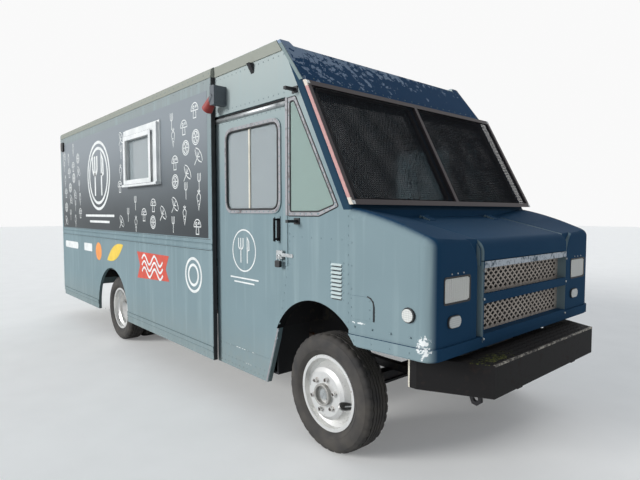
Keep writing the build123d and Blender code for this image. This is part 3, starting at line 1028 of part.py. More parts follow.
# Nose: shell, faces, lip, the duct of the grille, the gutter under the hood and the ears of its hinges
HOOD_GAP = CLEAR
GUTTER_DEEP = 50.0
SEAT_INNER = HOOD_HALF - 45.0
SEAT_WIDE = 12.0
FLANGE_DEEP = 35.0
HOOD_HINGE_X = HOOD_REAR_X - 14.0
HOOD_HINGE_Z = hood_z(HOOD_HINGE_X) + 11.0
HOOD_HINGE_Y = 430.0
HOOD_PIN = 5.0
HOOD_HINGE_LONG = 70.0
HOOD_EAR = 10.0
MIDDLE_BAR = (1087.0, 1146.0)
BAR_DEEP = 20.0
GRILLE_X = GROOVE_X - 20.0
with BuildPart() as nose:
    add(nose_form(GROOVE_X, 0))
    add(face_blocks.part)
    add(lip.part)
    add(nose_form(GROOVE_X, NOSE_WALL), mode=Mode.SUBTRACT)
    with Locations((HOOD_REAR_X, 0, HOOD_LOW_Z)):
        Box(1000, 2 * (HOOD_HALF + HOOD_GAP), 600, align=(Align.MIN, Align.CENTER, Align.MIN),
            mode=Mode.SUBTRACT)
    with BuildSketch(Plane.XY.offset(NOSE_BOTTOM_Z + 30)) as surround:
        with Locations((GROOVE_X - NOSE_WALL, 0)):
            Rectangle(HOOD_FRONT_X - GROOVE_X + NOSE_WALL, 2 * HOOD_HALF, align=(Align.MIN, Align.CENTER))
        fillet(surround.vertices().group_by(Axis.X)[-1], HOOD_EDGE_RADIUS)
    extrude(amount=HOOD_LOW_Z - NOSE_BOTTOM_Z - 30)
    with Locations((GROOVE_X - NOSE_WALL, 0, GRILLE_BOTTOM_Z)):
        Box(200, 2 * GRILLE_HALF, GRILLE_TOP_Z - GRILLE_BOTTOM_Z, align=(Align.MIN, Align.CENTER, Align.MIN),
            mode=Mode.SUBTRACT)
    with Locations((HOOD_FRONT_X, 0, MIDDLE_BAR[0])):
        Box(BAR_DEEP, 2 * GRILLE_HALF, MIDDLE_BAR[1] - MIDDLE_BAR[0],
            align=(Align.MAX, Align.CENTER, Align.MIN))
    for side in (-1, 1):
        inner = sorted((side * SEAT_INNER, side * (SEAT_INNER + SEAT_WIDE)))
        under = sorted((side * SEAT_INNER, side * (HOOD_HALF + HOOD_GAP + 8)))
        outer = sorted((side * (HOOD_HALF + HOOD_GAP), side * (HOOD_HALF + HOOD_GAP + 8)))
        add(hood_strip(*inner, NOSE_WALL + FIT, GUTTER_DEEP))
        add(hood_strip(*under, FLANGE_DEEP + CLEAR, GUTTER_DEEP))
        add(hood_strip(*outer, NOSE_WALL - 4, GUTTER_DEEP))
    with Locations((HOOD_FRONT_X - NOSE_WALL - FIT, 0, GRILLE_TOP_Z)):
        Box(SEAT_WIDE, 2 * SEAT_INNER, 50, align=(Align.MAX, Align.CENTER, Align.MIN))
    with Locations((HOOD_FRONT_X - NOSE_WALL - FIT - SEAT_WIDE, 0, GRILLE_TOP_Z)):
        Box(NOSE_WALL + SEAT_WIDE + FIT, 2 * SEAT_INNER, HOOD_LOW_Z - GRILLE_TOP_Z,
            align=(Align.MIN, Align.CENTER, Align.MIN))
    with BuildSketch(Plane.XZ.offset(-NOSE_REAR_HALF - 30)) as fender_arch:
        with Locations((FRONT_ARCH_X, FRONT_ARCH_Z)):
            Circle(FRONT_ARCH_RADIUS)
    extrude(amount=2 * NOSE_REAR_HALF + 60, mode=Mode.SUBTRACT)
    add(headlamps.part, mode=Mode.SUBTRACT)
    add(marker_lamps.part, mode=Mode.SUBTRACT)
    for side in (-1, 1):
        for end in (-1, 1):
            ear_y = side * HOOD_HINGE_Y + end * (HOOD_HINGE_LONG / 2 + FIT + HOOD_EAR / 2)
            with Locations((HOOD_HINGE_X, ear_y, HOOD_HINGE_Z)):
                Cylinder(HOOD_PIN + 4, HOOD_EAR, rotation=(90, 0, 0))
                Box(14, HOOD_EAR, 24, align=(Align.MAX, Align.CENTER, Align.MAX))
        with Locations((HOOD_HINGE_X, side * HOOD_HINGE_Y, HOOD_HINGE_Z)):
            Cylinder(HOOD_PIN, HOOD_HINGE_LONG + 2 * (FIT + HOOD_EAR), rotation=(90, 0, 0))
nose.part.label = "nose"
export_step(nose.part, "parts/nose.step")

# Hood lid: a skin with flanged sides that wraps over the front, hinged at the cowl
with BuildPart() as hood_lid:
    add(hood_strip(-HOOD_HALF, HOOD_HALF, 0, FLANGE_DEEP, HOOD_EDGE_RADIUS))
    add(hood_strip(NOSE_WALL - HOOD_HALF, HOOD_HALF - NOSE_WALL, NOSE_WALL, 2 * FLANGE_DEEP),
        mode=Mode.SUBTRACT)
    with Locations((HOOD_REAR_X + HOOD_GAP, 0, HOOD_LOW_Z + HOOD_GAP)):
        Box(1000, 2 * HOOD_HALF, 600, align=(Align.MIN, Align.CENTER, Align.MIN), mode=Mode.INTERSECT)
    for side in (-1, 1):
        strap_end = HOOD_REAR_X + 60
        with BuildSketch(Plane.XZ.offset(-side * HOOD_HINGE_Y + HOOD_HINGE_LONG / 2)) as strap_side:
            with BuildLine():
                Polyline((HOOD_HINGE_X, HOOD_HINGE_Z), (HOOD_HINGE_X, HOOD_HINGE_Z + HOOD_PIN + 3),
                         (strap_end, hood_z(strap_end) + 5), (strap_end, hood_z(strap_end)),
                         (HOOD_REAR_X + HOOD_GAP, hood_z(HOOD_REAR_X + HOOD_GAP)), close=True)
            make_face()
        extrude(amount=-HOOD_HINGE_LONG)
        with Locations((HOOD_HINGE_X, side * HOOD_HINGE_Y, HOOD_HINGE_Z)):
            Cylinder(HOOD_PIN + 4, HOOD_HINGE_LONG, rotation=(90, 0, 0))
            Cylinder(HOOD_PIN + RUNNING, HOOD_HINGE_LONG, rotation=(90, 0, 0), mode=Mode.SUBTRACT)
hood_lid.part.label = "hood_lid"
export_step(hood_lid.part, "parts/hood_lid.step")

# Grille: one expanded sheet behind the bars, with rows of diamonds in the two openings
DIAMOND_WIDE = 62.0
DIAMOND_HIGH = 45.0
STRAND = 16.0
DIAMOND_COLUMNS = 18
DIAMOND_ROWS = 4
MESH_THICK = 5.0
MESH_PANELS = (
    # height of the middle of each panel of diamonds
    (GRILLE_BOTTOM_Z + MIDDLE_BAR[0]) / 2,
    (MIDDLE_BAR[1] + GRILLE_TOP_Z) / 2,
)
with BuildPart() as grille:
    with BuildSketch(Plane.YZ.offset(GRILLE_X)) as mesh:
        with Locations((0, GRILLE_BOTTOM_Z)):
            Rectangle(2 * GRILLE_HALF, GRILLE_TOP_Z - GRILLE_BOTTOM_Z, align=(Align.CENTER, Align.MIN))
        for middle in MESH_PANELS:
            for columns, rows in ((DIAMOND_COLUMNS, DIAMOND_ROWS), (DIAMOND_COLUMNS - 1, DIAMOND_ROWS - 1)):
                with Locations((0, middle)):
                    with GridLocations(DIAMOND_WIDE, DIAMOND_HIGH, columns, rows):
                        Polygon((DIAMOND_WIDE / 2 - STRAND / 2, 0), (0, DIAMOND_HIGH / 2 - STRAND / 2),
                                (STRAND / 2 - DIAMOND_WIDE / 2, 0), (0, STRAND / 2 - DIAMOND_HIGH / 2),
                                mode=Mode.SUBTRACT)
    extrude(amount=-MESH_THICK)
grille.part.label = "grille"
export_step(grille.part, "parts/grille.step")

# Windshield guard: a frame of bars that stands off the cab front on short legs
GUARD_TOP_Z = 2533.0
GUARD_BOTTOM_Z = 1692.0
GUARD_HALF = 1160.0
GUARD_BAR = 34.0
GUARD_OFF = 30.0
GUARD_THICK = 30.0
GUARD_LEG_HEIGHTS = (GUARD_BOTTOM_Z + 4, GUARD_TOP_Z - 34)
with BuildPart() as windshield_guard:
    with BuildSketch(Plane.XZ.offset(-GUARD_HALF)) as guard_side:
        with BuildLine():
            Polyline((windshield_x(GUARD_TOP_Z, -GUARD_OFF), GUARD_TOP_Z),
                     (windshield_x(GUARD_BOTTOM_Z, -GUARD_OFF), GUARD_BOTTOM_Z),
                     (windshield_x(GUARD_BOTTOM_Z, -GUARD_OFF - GUARD_THICK), GUARD_BOTTOM_Z),
                     (windshield_x(GUARD_TOP_Z, -GUARD_OFF - GUARD_THICK), GUARD_TOP_Z), close=True)
        make_face()
    extrude(amount=2 * GUARD_HALF)
    with BuildSketch(Plane.YZ.offset(COWL_X - 1000)) as guard_holes:
        for side in (-1, 1):
            with Locations((side * (GUARD_HALF - GUARD_BAR / 2) / 2, (GUARD_BOTTOM_Z + GUARD_TOP_Z) / 2)):
                Rectangle(GUARD_HALF - 1.5 * GUARD_BAR, GUARD_TOP_Z - GUARD_BOTTOM_Z - 2 * GUARD_BAR)
    extrude(amount=1500, mode=Mode.SUBTRACT)
    for side in (-1, 1):
        for height in GUARD_LEG_HEIGHTS:
            with BuildSketch(Plane.XZ.offset(-side * (CAB_HALF - 60))) as leg:
                with BuildLine():
                    Polyline((windshield_x(height), height), (windshield_x(height, -GUARD_OFF), height),
                             (windshield_x(height + 30, -GUARD_OFF), height + 30),
                             (windshield_x(height + 30), height + 30), close=True)
                make_face()
            extrude(amount=side * 30)
windshield_guard.part.label = "windshield_guard"
export_step(windshield_guard.part, "parts/windshield_guard.step")

# Mesh of the guard: one sheet in each opening of its frame
GUARD_SHEET = 4.0
GUARD_SHEET_INSET = GUARD_OFF + (GUARD_THICK - GUARD_SHEET) / 2
with BuildPart() as guard_mesh:
    for side in (-1, 1):
        with BuildSketch(Plane.XZ.offset(-side * (GUARD_HALF - GUARD_BAR))) as sheet_side:
            with BuildLine():
                Polyline((windshield_x(GUARD_TOP_Z - GUARD_BAR, -GUARD_SHEET_INSET), GUARD_TOP_Z - GUARD_BAR),
                         (windshield_x(GUARD_BOTTOM_Z + GUARD_BAR, -GUARD_SHEET_INSET), GUARD_BOTTOM_Z + GUARD_BAR),
                         (windshield_x(GUARD_BOTTOM_Z + GUARD_BAR, -GUARD_SHEET_INSET - GUARD_SHEET),
                          GUARD_BOTTOM_Z + GUARD_BAR),
                         (windshield_x(GUARD_TOP_Z - GUARD_BAR, -GUARD_SHEET_INSET - GUARD_SHEET),
                          GUARD_TOP_Z - GUARD_BAR), close=True)
            make_face()
        extrude(amount=side * (GUARD_HALF - 1.5 * GUARD_BAR))
guard_mesh.part.label = "guard_mesh"
export_step(guard_mesh.part, "parts/guard_mesh.step")

# Front bumper: a deep pressed channel with a step on top and wings that sweep back
BUMPER_BOTTOM_Z = 572.0
BUMPER_TOP_Z = RAIL_TOP_Z + BUMPER_PLATE
BUMPER_HALF = 722.0
BUMPER_BACK_X = BUMPER_FRONT_X - 235.0
WING_X = FRONT_AXLE_X + 640.0
WING_HALF = 925.0
WING_DEEP = 60.0
with BuildPart() as front_bumper:
    with BuildSketch(Plane.XY.offset(BUMPER_BOTTOM_Z)) as bumper_plan:
        with BuildLine():
            Polyline((BUMPER_FRONT_X, -BUMPER_HALF), (BUMPER_FRONT_X, BUMPER_HALF), (WING_X, WING_HALF),
                     (WING_X - WING_DEEP, WING_HALF), (BUMPER_BACK_X, BUMPER_HALF - 40),
                     (BUMPER_BACK_X, 40 - BUMPER_HALF), (WING_X - WING_DEEP, -WING_HALF), (WING_X, -WING_HALF),
                     close=True)
        make_face()
    extrude(amount=BUMPER_TOP_Z - BUMPER_BOTTOM_Z)
    with BuildSketch(Plane.XY.offset(BUMPER_BOTTOM_Z)) as bumper_hollow:
        add(bumper_plan.sketch_local)
        offset(amount=-BUMPER_PLATE, kind=Kind.INTERSECTION, mode=Mode.REPLACE)
        with Locations((BUMPER_BACK_X - 50, 0)):
            Rectangle(200, 2 * (BUMPER_HALF - 60))
    extrude(amount=BUMPER_TOP_Z - BUMPER_BOTTOM_Z - BUMPER_PLATE, mode=Mode.SUBTRACT)
front_bumper.part.label = "front_bumper"
export_step(front_bumper.part, "parts/front_bumper.step")

# Tow hooks: plates on the outer faces of the rails that hang below them, each with an eye
HOOK_THICK = 25.0
HOOK_EYE = 20.0
HOOK_X = FRONT_AXLE_X + 760.0
HOOK_Z = 430.0
with BuildPart() as tow_hooks:
    for side in (-1, 1):
        with BuildSketch(Plane.XZ.offset(-side * RAIL_OUTER)) as hook_side:
            with BuildLine():
                Polyline((HOOK_X - 110, RAIL_BOTTOM_Z + 80), (HOOK_X + 30, RAIL_BOTTOM_Z + 80),
                         (HOOK_X + 42, HOOK_Z - 20), (HOOK_X + 12, HOOK_Z - 46), (HOOK_X - 26, HOOK_Z - 40),
                         (HOOK_X - 44, HOOK_Z + 4), close=True)
            make_face()
            with Locations((HOOK_X, HOOK_Z)):
                Circle(HOOK_EYE, mode=Mode.SUBTRACT)
        extrude(amount=-side * HOOK_THICK)
tow_hooks.part.label = "tow_hooks"
export_step(tow_hooks.part, "parts/tow_hooks.step")

# Rear step bumper: a channel with its legs turned down
STEP_BUMPER_BOTTOM_Z = 435.0
STEP_BUMPER_TOP_Z = 490.0
STEP_BUMPER_HALF = 1100.0
with BuildPart() as rear_bumper:
    with BuildSketch(Plane.XZ.offset(-STEP_BUMPER_HALF)) as step_side:
        with Locations((BUMPER_REAR_X, STEP_BUMPER_BOTTOM_Z)):
            Rectangle(BODY_REAR_X - BUMPER_REAR_X, STEP_BUMPER_TOP_Z - STEP_BUMPER_BOTTOM_Z,
                      align=(Align.MIN, Align.MIN))
        with Locations((BUMPER_REAR_X + 8, STEP_BUMPER_BOTTOM_Z)):
            Rectangle(BODY_REAR_X - BUMPER_REAR_X - 16, STEP_BUMPER_TOP_Z - STEP_BUMPER_BOTTOM_Z - 8,
                      align=(Align.MIN, Align.MIN), mode=Mode.SUBTRACT)
    extrude(amount=2 * STEP_BUMPER_HALF)
rear_bumper.part.label = "rear_bumper"
export_step(rear_bumper.part, "parts/rear_bumper.step")

# Serving window: a flange on the wall, a deeper frame with a sill, and the pane
PANE_REAR_X = FRONT_AXLE_X - 3268.0
PANE_FRONT_X = FRONT_AXLE_X - 2591.0
PANE_BOTTOM_Z = 2003.0
PANE_TOP_Z = 2457.0
PANE_MIDDLE = ((PANE_REAR_X + PANE_FRONT_X) / 2, (PANE_BOTTOM_Z + PANE_TOP_Z) / 2)
WINDOW_MIDDLE = ((WINDOW_REAR_X + WINDOW_FRONT_X) / 2, (WINDOW_BOTTOM_Z + WINDOW_TOP_Z) / 2)
WINDOW_LONG = WINDOW_FRONT_X - WINDOW_REAR_X
WINDOW_HIGH = WINDOW_TOP_Z - WINDOW_BOTTOM_Z
SILL_OUT = 62.0
SILL_HIGH = 26.0
WINDOW_STEPS = (
    # margin inside the flange's edge, how far proud of the wall
    (0.0, 12.0),
    (18.0, 42.0),
)
with BuildPart() as window_frame:
    for margin, proud in WINDOW_STEPS:
        with BuildSketch(Plane.XZ.offset(BODY_HALF)) as flange:
            with Locations(WINDOW_MIDDLE):
                Rectangle(WINDOW_LONG - 2 * margin, WINDOW_HIGH - 2 * margin)
        extrude(amount=proud)
    with BuildSketch(Plane.XZ.offset(BODY_HALF)) as sill:
        with Locations((WINDOW_MIDDLE[0], WINDOW_BOTTOM_Z)):
            Rectangle(WINDOW_LONG, SILL_HIGH, align=(Align.CENTER, Align.MIN))
    extrude(amount=SILL_OUT)
    with BuildSketch(Plane.XZ.offset(BODY_HALF)) as sleeve:
        with Locations(WINDOW_MIDDLE):
            Rectangle(WINDOW_LONG - 2 * WINDOW_FLANGE, WINDOW_HIGH - 2 * WINDOW_FLANGE)
    extrude(amount=-CARGO_WALL)
    with BuildSketch(Plane.XZ.offset(BODY_HALF - CARGO_WALL - 20)) as window_hole:
        with Locations(PANE_MIDDLE):
            Rectangle(PANE_FRONT_X - PANE_REAR_X, PANE_TOP_Z - PANE_BOTTOM_Z)
    extrude(amount=CARGO_WALL + SILL_OUT + 40, mode=Mode.SUBTRACT)
window_frame.part.label = "serving_window_frame"
export_step(window_frame.part, "parts/serving_window_frame.step")

with BuildPart() as window_pane:
    with BuildSketch(Plane.XZ.offset(BODY_HALF + 14)) as serving_pane:
        with Locations(PANE_MIDDLE):
            Rectangle(PANE_FRONT_X - PANE_REAR_X, PANE_TOP_Z - PANE_BOTTOM_Z)
    extrude(amount=-GLASS_THICK)
window_pane.part.label = "serving_window_pane"
export_step(window_pane.part, "parts/serving_window_pane.step")

# Power inlet: a box on the cab header with a round socket that points down and back
INLET_X = FRONT_AXLE_X - 1225.0
INLET_Z = 2610.0
SOCKET_RADIUS = 34.0
SOCKET_BORE = 36.0
SOCKET_LONG = 160.0
with BuildPart() as power_inlet:
    with Locations((INLET_X, -CAB_HALF, INLET_Z)):
        Box(70, 120, 160, align=(Align.CENTER, Align.MAX, Align.CENTER))
    fillet(power_inlet.edges().filter_by(Axis.Y), 12)
    socket_plane = Plane(origin=(INLET_X, -CAB_HALF - 92, INLET_Z), x_dir=(0, 1, 0), z_dir=(-0.8, 0, -0.6))
    with BuildSketch(socket_plane) as socket:
        Circle(SOCKET_RADIUS)
    extrude(amount=SOCKET_LONG, taper=-5)
    with BuildSketch(socket_plane.offset(SOCKET_LONG / 2)) as socket_bore:
        Circle(SOCKET_BORE)
    extrude(amount=SOCKET_LONG, mode=Mode.SUBTRACT)
power_inlet.part.label = "power_inlet"
export_step(power_inlet.part, "parts/power_inlet.step")

# Stubs of the mirror arms, an upper and a lower one on each side, and a bracket on each header
STUB_TABLE = (
    # station, height
    (FRONT_AXLE_X - 271.0, 2496.0),
    (FRONT_AXLE_X - 252.0, 1581.0),
)
STUB_REACH = 95.0
BRACKET_X = FRONT_AXLE_X - 800.0
BRACKET_LOW_Z = 2716.0
BRACKET_TOP_Z = 2790.0
with BuildPart() as mirror_stubs:
    for side in (-1, 1):
        outward = Align.MIN if side == 1 else Align.MAX
        for station, height in STUB_TABLE:
            with Locations((station, side * CAB_HALF, height)):
                Box(60, 8, 44, align=(Align.CENTER, outward, Align.CENTER))
                Box(26, STUB_REACH, 20, align=(Align.CENTER, outward, Align.CENTER))
        with BuildSketch(Plane.YZ.offset(BRACKET_X - 20)) as bracket_side:
            with BuildLine():
                Polyline((side * CAB_HALF, BRACKET_LOW_Z), (side * (CAB_HALF + 45), BRACKET_TOP_Z),
                         (side * CAB_HALF, BRACKET_TOP_Z), close=True)
            make_face()
        extrude(amount=40)
mirror_stubs.part.label = "mirror_stubs"
export_step(mirror_stubs.part, "parts/mirror_stubs.step")

# Driver's seat on the left, behind the wheel box: a post, a cushion and a tilted back
SEAT_Y = 500.0
SEAT_X = FRONT_AXLE_X - 830.0
SEAT_POST_HIGH = 330.0
CUSHION_THICK = 110.0
with BuildPart() as driver_seat:
    with Locations((SEAT_X, SEAT_Y, CAB_FLOOR_Z)):
        Cylinder(60, SEAT_POST_HIGH, align=(Align.CENTER, Align.CENTER, Align.MIN))
    with BuildSketch(Plane.XY.offset(CAB_FLOOR_Z + SEAT_POST_HIGH)) as cushion:
        with Locations((SEAT_X, SEAT_Y)):
            RectangleRounded(460, 460, 60)
    extrude(amount=CUSHION_THICK)
    with BuildSketch(Plane.YZ.offset(SEAT_X - 230)) as back:
        with Locations((SEAT_Y, CAB_FLOOR_Z + SEAT_POST_HIGH + CUSHION_THICK)):
            Rectangle(440, 600, align=(Align.CENTER, Align.MIN))
        fillet(back.vertices().group_by(Axis.Y)[-1], 90)
    extrude(amount=100)
driver_seat.part.label = "driver_seat"
export_step(driver_seat.part, "parts/driver_seat.step")

# Dash with the steering column and wheel
DASH_Z = 1180.0
DASH_DEEP = 230.0
DASH_HIGH = 200.0
WHEEL_RADIUS = 215.0
COLUMN_LONG = 330.0
with BuildPart() as dash:
    with Locations((FIREWALL_BACK_X, 0, DASH_Z)):
        Box(DASH_DEEP, 2 * POST_INNER, DASH_HIGH, align=(Align.MAX, Align.CENTER, Align.MIN))
    fillet(dash.faces().sort_by(Axis.Z)[-1].edges().group_by(Axis.X)[0], 40)
    with Locations((FIREWALL_BACK_X, 0, RAIL_TOP_Z)):
        Box(600, 2 * COVER_HALF, COVER_TOP_Z - RAIL_TOP_Z, align=(Align.CENTER, Align.CENTER, Align.MIN),
            mode=Mode.SUBTRACT)
    column = Plane(origin=(FIREWALL_BACK_X - 120, SEAT_Y, DASH_Z + 120), z_dir=(-0.75, 0, 0.66))
    with BuildSketch(column) as column_section:
        Circle(26)
    extrude(amount=COLUMN_LONG)
    with Locations(column.offset(COLUMN_LONG)):
        Torus(WHEEL_RADIUS, 14)
        Box(2 * WHEEL_RADIUS, 36, 14)
        Cylinder(50, 30)
dash.part.label = "dash"
export_step(dash.part, "parts/dash.step")


def rim_solid(axle_x, centre_y, outward, disc_at, disc_side):
    """Barrel with flanges and drop centre, and a dished disc with two hand holes.

    outward is +1 when the outer flange lies towards +Y. disc_at is the flat of the disc, measured
    outwards from the tyre's centre, and disc_side is the way the disc bulges.
    """
    inner = BEAD_RADIUS - RIM_WALL
    well = 214.0
    disc = 12.0
    points = [(BEAD_RADIUS, -RIM_HALF_WIDTH + 14), (RIM_FLANGE_RADIUS, -RIM_HALF_WIDTH + 8),
              (RIM_FLANGE_RADIUS, -RIM_HALF_WIDTH), (inner, -RIM_HALF_WIDTH), (inner, -46),
              (well, -34), (well, 26), (inner, 46), (inner, RIM_HALF_WIDTH),
              (RIM_FLANGE_RADIUS, RIM_HALF_WIDTH), (RIM_FLANGE_RADIUS, RIM_HALF_WIDTH - 8),
              (BEAD_RADIUS, RIM_HALF_WIDTH - 14), (BEAD_RADIUS, 40), (well + RIM_WALL, 20),
              (well + RIM_WALL, -28), (BEAD_RADIUS, -40)]
    shoulder = disc_at - 18 * disc_side
    disc_points = [(well + 3, 20 * disc_side), (well + 3, 0), (172, shoulder - disc * disc_side),
                   (150, disc_at - disc * disc_side), (SPINDLE_RADIUS + 20, disc_at - disc * disc_side),
                   (SPINDLE_RADIUS + 20, disc_at), (152, disc_at), (178, shoulder)]
    with BuildPart() as rim:
        with BuildSketch(Plane.XY.offset(TYRE_RADIUS)) as rim_section:
            for outline in (points, disc_points):
                with BuildLine():
                    Polyline(*[(axle_x + radius, centre_y + outward * along) for radius, along in outline],
                             close=True)
                make_face()
        revolve(axis=Axis((axle_x, 0, TYRE_RADIUS), (0, 1, 0)), revolution_arc=360)
        with BuildSketch(Plane.XZ.offset(-centre_y - 150)) as hand_holes:
            with Locations((axle_x, TYRE_RADIUS)):
                with PolarLocations(178, 2, start_angle=HAND_HOLE_ANGLE):
                    Circle(33)
        extrude(amount=300, mode=Mode.SUBTRACT)
    return rim.part


def tyre_solid(axle_x, centre_y):
    """Beads on the rim, bulged walls, shoulders and a flat crown, turned about the axle."""
    half = TYRE_WIDTH / 2
    bead = BEAD_RADIUS + FIT
    wall_foot = RIM_FLANGE_RADIUS + 4
    shoulder = TYRE_RADIUS - 18
    with BuildPart() as tyre:
        with BuildSketch(Plane.XY.offset(TYRE_RADIUS)) as tyre_section:
            with BuildLine():
                Line((axle_x + bead, centre_y - 72), (axle_x + bead, centre_y + 72))
                Line((axle_x + bead, centre_y + 72), (axle_x + wall_foot, centre_y + 82))
                ThreePointArc((axle_x + wall_foot, centre_y + 82), (axle_x + 325, centre_y + half),
                              (axle_x + shoulder, centre_y + half - 16))
                Line((axle_x + shoulder, centre_y + half - 16), (axle_x + TYRE_RADIUS, centre_y + half - 34))
                Line((axle_x + TYRE_RADIUS, centre_y + half - 34), (axle_x + TYRE_RADIUS, centre_y - half + 34))
                Line((axle_x + TYRE_RADIUS, centre_y - half + 34), (axle_x + shoulder, centre_y - half + 16))
                ThreePointArc((axle_x + shoulder, centre_y - half + 16), (axle_x + 325, centre_y - half),
                              (axle_x + wall_foot, centre_y - 82))
                Line((axle_x + wall_foot, centre_y - 82), (axle_x + bead, centre_y - 72))
            make_face()
        revolve(axis=Axis((axle_x, 0, TYRE_RADIUS), (0, 1, 0)), revolution_arc=360)
    return tyre.part


# Wheels: single in front, twins on one hub behind, each with its hub, drum and nuts
HUB_STEPS = (
    # radius, from and to along the hub, measured outwards from the front tyre's centre
    (165.0, 52.0 - 92.0, -6.0),
    (82.0, -20.0, 112.0),
    (74.0, 112.0, 142.0),
)
HUB_RECESS = (60.0, 104.0, 142.0)
HUB_CAP = (33.0, 104.0, 120.0)
REAR_HUB_STEPS = (
    # radius, from and to along the hub, measured outwards from the meeting face of the twin rims
    (165.0, -225.0, -30.0),
    (90.0, -225.0, 60.0),
    (70.0, 60.0, 118.0),
)
NUT_RADIUS = 17.0
NUT_HIGH = 24.0
FRONT_DISC = 112.0
for side_name, side in (("right", -1), ("left", 1)):
    front_y = side * FRONT_TYRE_Y
    with BuildPart() as front_rim:
        add(rim_solid(FRONT_AXLE_X, front_y, side, FRONT_DISC, 1))
        for (radius, start, end), mode in (*[(step, Mode.ADD) for step in HUB_STEPS],
                                           (HUB_RECESS, Mode.SUBTRACT), (HUB_CAP, Mode.ADD)):
            with BuildSketch(Plane.XZ.offset(-(front_y + side * start))) as hub:
                with Locations((FRONT_AXLE_X, TYRE_RADIUS)):
                    Circle(radius)
            extrude(amount=-side * (end - start), mode=mode)
        with BuildSketch(Plane.XZ.offset(-(front_y - side * 45))) as hub_bore:
            with Locations((FRONT_AXLE_X, TYRE_RADIUS)):
                Circle(SPINDLE_RADIUS + RUNNING)
        extrude(amount=-side * (45 + 90), mode=Mode.SUBTRACT)
        with BuildSketch(Plane.XZ.offset(-(front_y + side * FRONT_DISC))) as nuts:
            with Locations((FRONT_AXLE_X, TYRE_RADIUS)):
                with PolarLocations(STUD_PCD / 2, STUD_COUNT, start_angle=STUD_ANGLE):
                    RegularPolygon(NUT_RADIUS, 6)
        extrude(amount=-side * NUT_HIGH)
    front_rim.part.label = f"front_rim_{side_name}"
    export_step(front_rim.part, f"parts/front_rim_{side_name}.step")

    with BuildPart() as front_tyre:
        add(tyre_solid(FRONT_AXLE_X, front_y))
    front_tyre.part.label = f"front_tyre_{side_name}"
    export_step(front_tyre.part, f"parts/front_tyre_{side_name}.step")

    face_y = side * REAR_FACE_Y
    with BuildPart() as rear_rims:
        add(rim_solid(REAR_AXLE_X, side * REAR_OUTER_TYRE_Y, side, -DUAL_OFFSET, -1))
        add(rim_solid(REAR_AXLE_X, side * REAR_INNER_TYRE_Y, side, DUAL_OFFSET, 1))
        for radius, start, end in REAR_HUB_STEPS:
            with BuildSketch(Plane.XZ.offset(-(face_y + side * start))) as rear_hub:
                with Locations((REAR_AXLE_X, TYRE_RADIUS)):
                    Circle(radius)
            extrude(amount=-side * (end - start))
        with BuildSketch(Plane.XZ.offset(-(face_y - side * 230))) as rear_bore:
            with Locations((REAR_AXLE_X, TYRE_RADIUS)):
                Circle(HALF_SHAFT_RADIUS + RUNNING)
        extrude(amount=-side * (230 + 95), mode=Mode.SUBTRACT)
        with BuildSketch(Plane.XZ.offset(-(face_y + side * 12))) as rear_nuts:
            with Locations((REAR_AXLE_X, TYRE_RADIUS)):
                with PolarLocations(STUD_PCD / 2, STUD_COUNT, start_angle=STUD_ANGLE):
                    RegularPolygon(NUT_RADIUS, 6)
        extrude(amount=-side * NUT_HIGH)
    rear_rims.part.label = f"rear_rims_{side_name}"
    export_step(rear_rims.part, f"parts/rear_rims_{side_name}.step")

    with BuildPart() as rear_tyres:
        add(tyre_solid(REAR_AXLE_X, side * REAR_OUTER_TYRE_Y))
        add(tyre_solid(REAR_AXLE_X, side * REAR_INNER_TYRE_Y))
    rear_tyres.part.label = f"rear_tyres_{side_name}"
    export_step(rear_tyres.part, f"parts/rear_tyres_{side_name}.step")
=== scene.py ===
# %% [markdown]
# # A walk-in step van made into a food truck
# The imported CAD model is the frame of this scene: riveted aluminium panels, a moulded nose, doors that
# slide, and wheels that steer. We load it first, so that every piece we add is placed against it, in metres.

# %% Load the frame
import json
import math

import bmesh
import bpy
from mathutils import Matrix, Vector

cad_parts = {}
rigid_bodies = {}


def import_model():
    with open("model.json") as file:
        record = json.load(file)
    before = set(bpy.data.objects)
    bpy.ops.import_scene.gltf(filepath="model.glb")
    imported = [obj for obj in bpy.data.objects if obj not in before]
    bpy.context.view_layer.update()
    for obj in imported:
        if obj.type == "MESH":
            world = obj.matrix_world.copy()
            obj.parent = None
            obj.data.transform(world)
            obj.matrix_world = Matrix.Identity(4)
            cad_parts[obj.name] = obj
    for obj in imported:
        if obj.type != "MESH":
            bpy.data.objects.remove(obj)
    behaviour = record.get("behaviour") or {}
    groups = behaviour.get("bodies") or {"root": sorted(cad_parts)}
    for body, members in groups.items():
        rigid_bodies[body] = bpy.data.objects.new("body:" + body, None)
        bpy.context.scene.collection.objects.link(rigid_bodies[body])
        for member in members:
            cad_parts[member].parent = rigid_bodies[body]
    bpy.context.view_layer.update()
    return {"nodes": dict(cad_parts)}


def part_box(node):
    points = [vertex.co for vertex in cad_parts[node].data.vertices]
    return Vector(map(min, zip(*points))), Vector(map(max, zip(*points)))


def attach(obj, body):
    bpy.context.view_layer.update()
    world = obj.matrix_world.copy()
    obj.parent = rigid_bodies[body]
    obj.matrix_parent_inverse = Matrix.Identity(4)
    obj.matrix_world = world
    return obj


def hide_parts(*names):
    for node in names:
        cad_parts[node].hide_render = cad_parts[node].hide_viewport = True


bpy.ops.object.select_all(action="SELECT")
bpy.ops.object.delete()
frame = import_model()

# %% [markdown]
# ## Driving sizes
# A few faces of the model place nearly everything else: the front axle, the flat of the cargo wall,
# the cab side that stands 40 mm further in, and the two ends of the door opening. They could be typed wherever
# they are needed, but a name for each says what is measured, and one change then moves all that hangs on it.

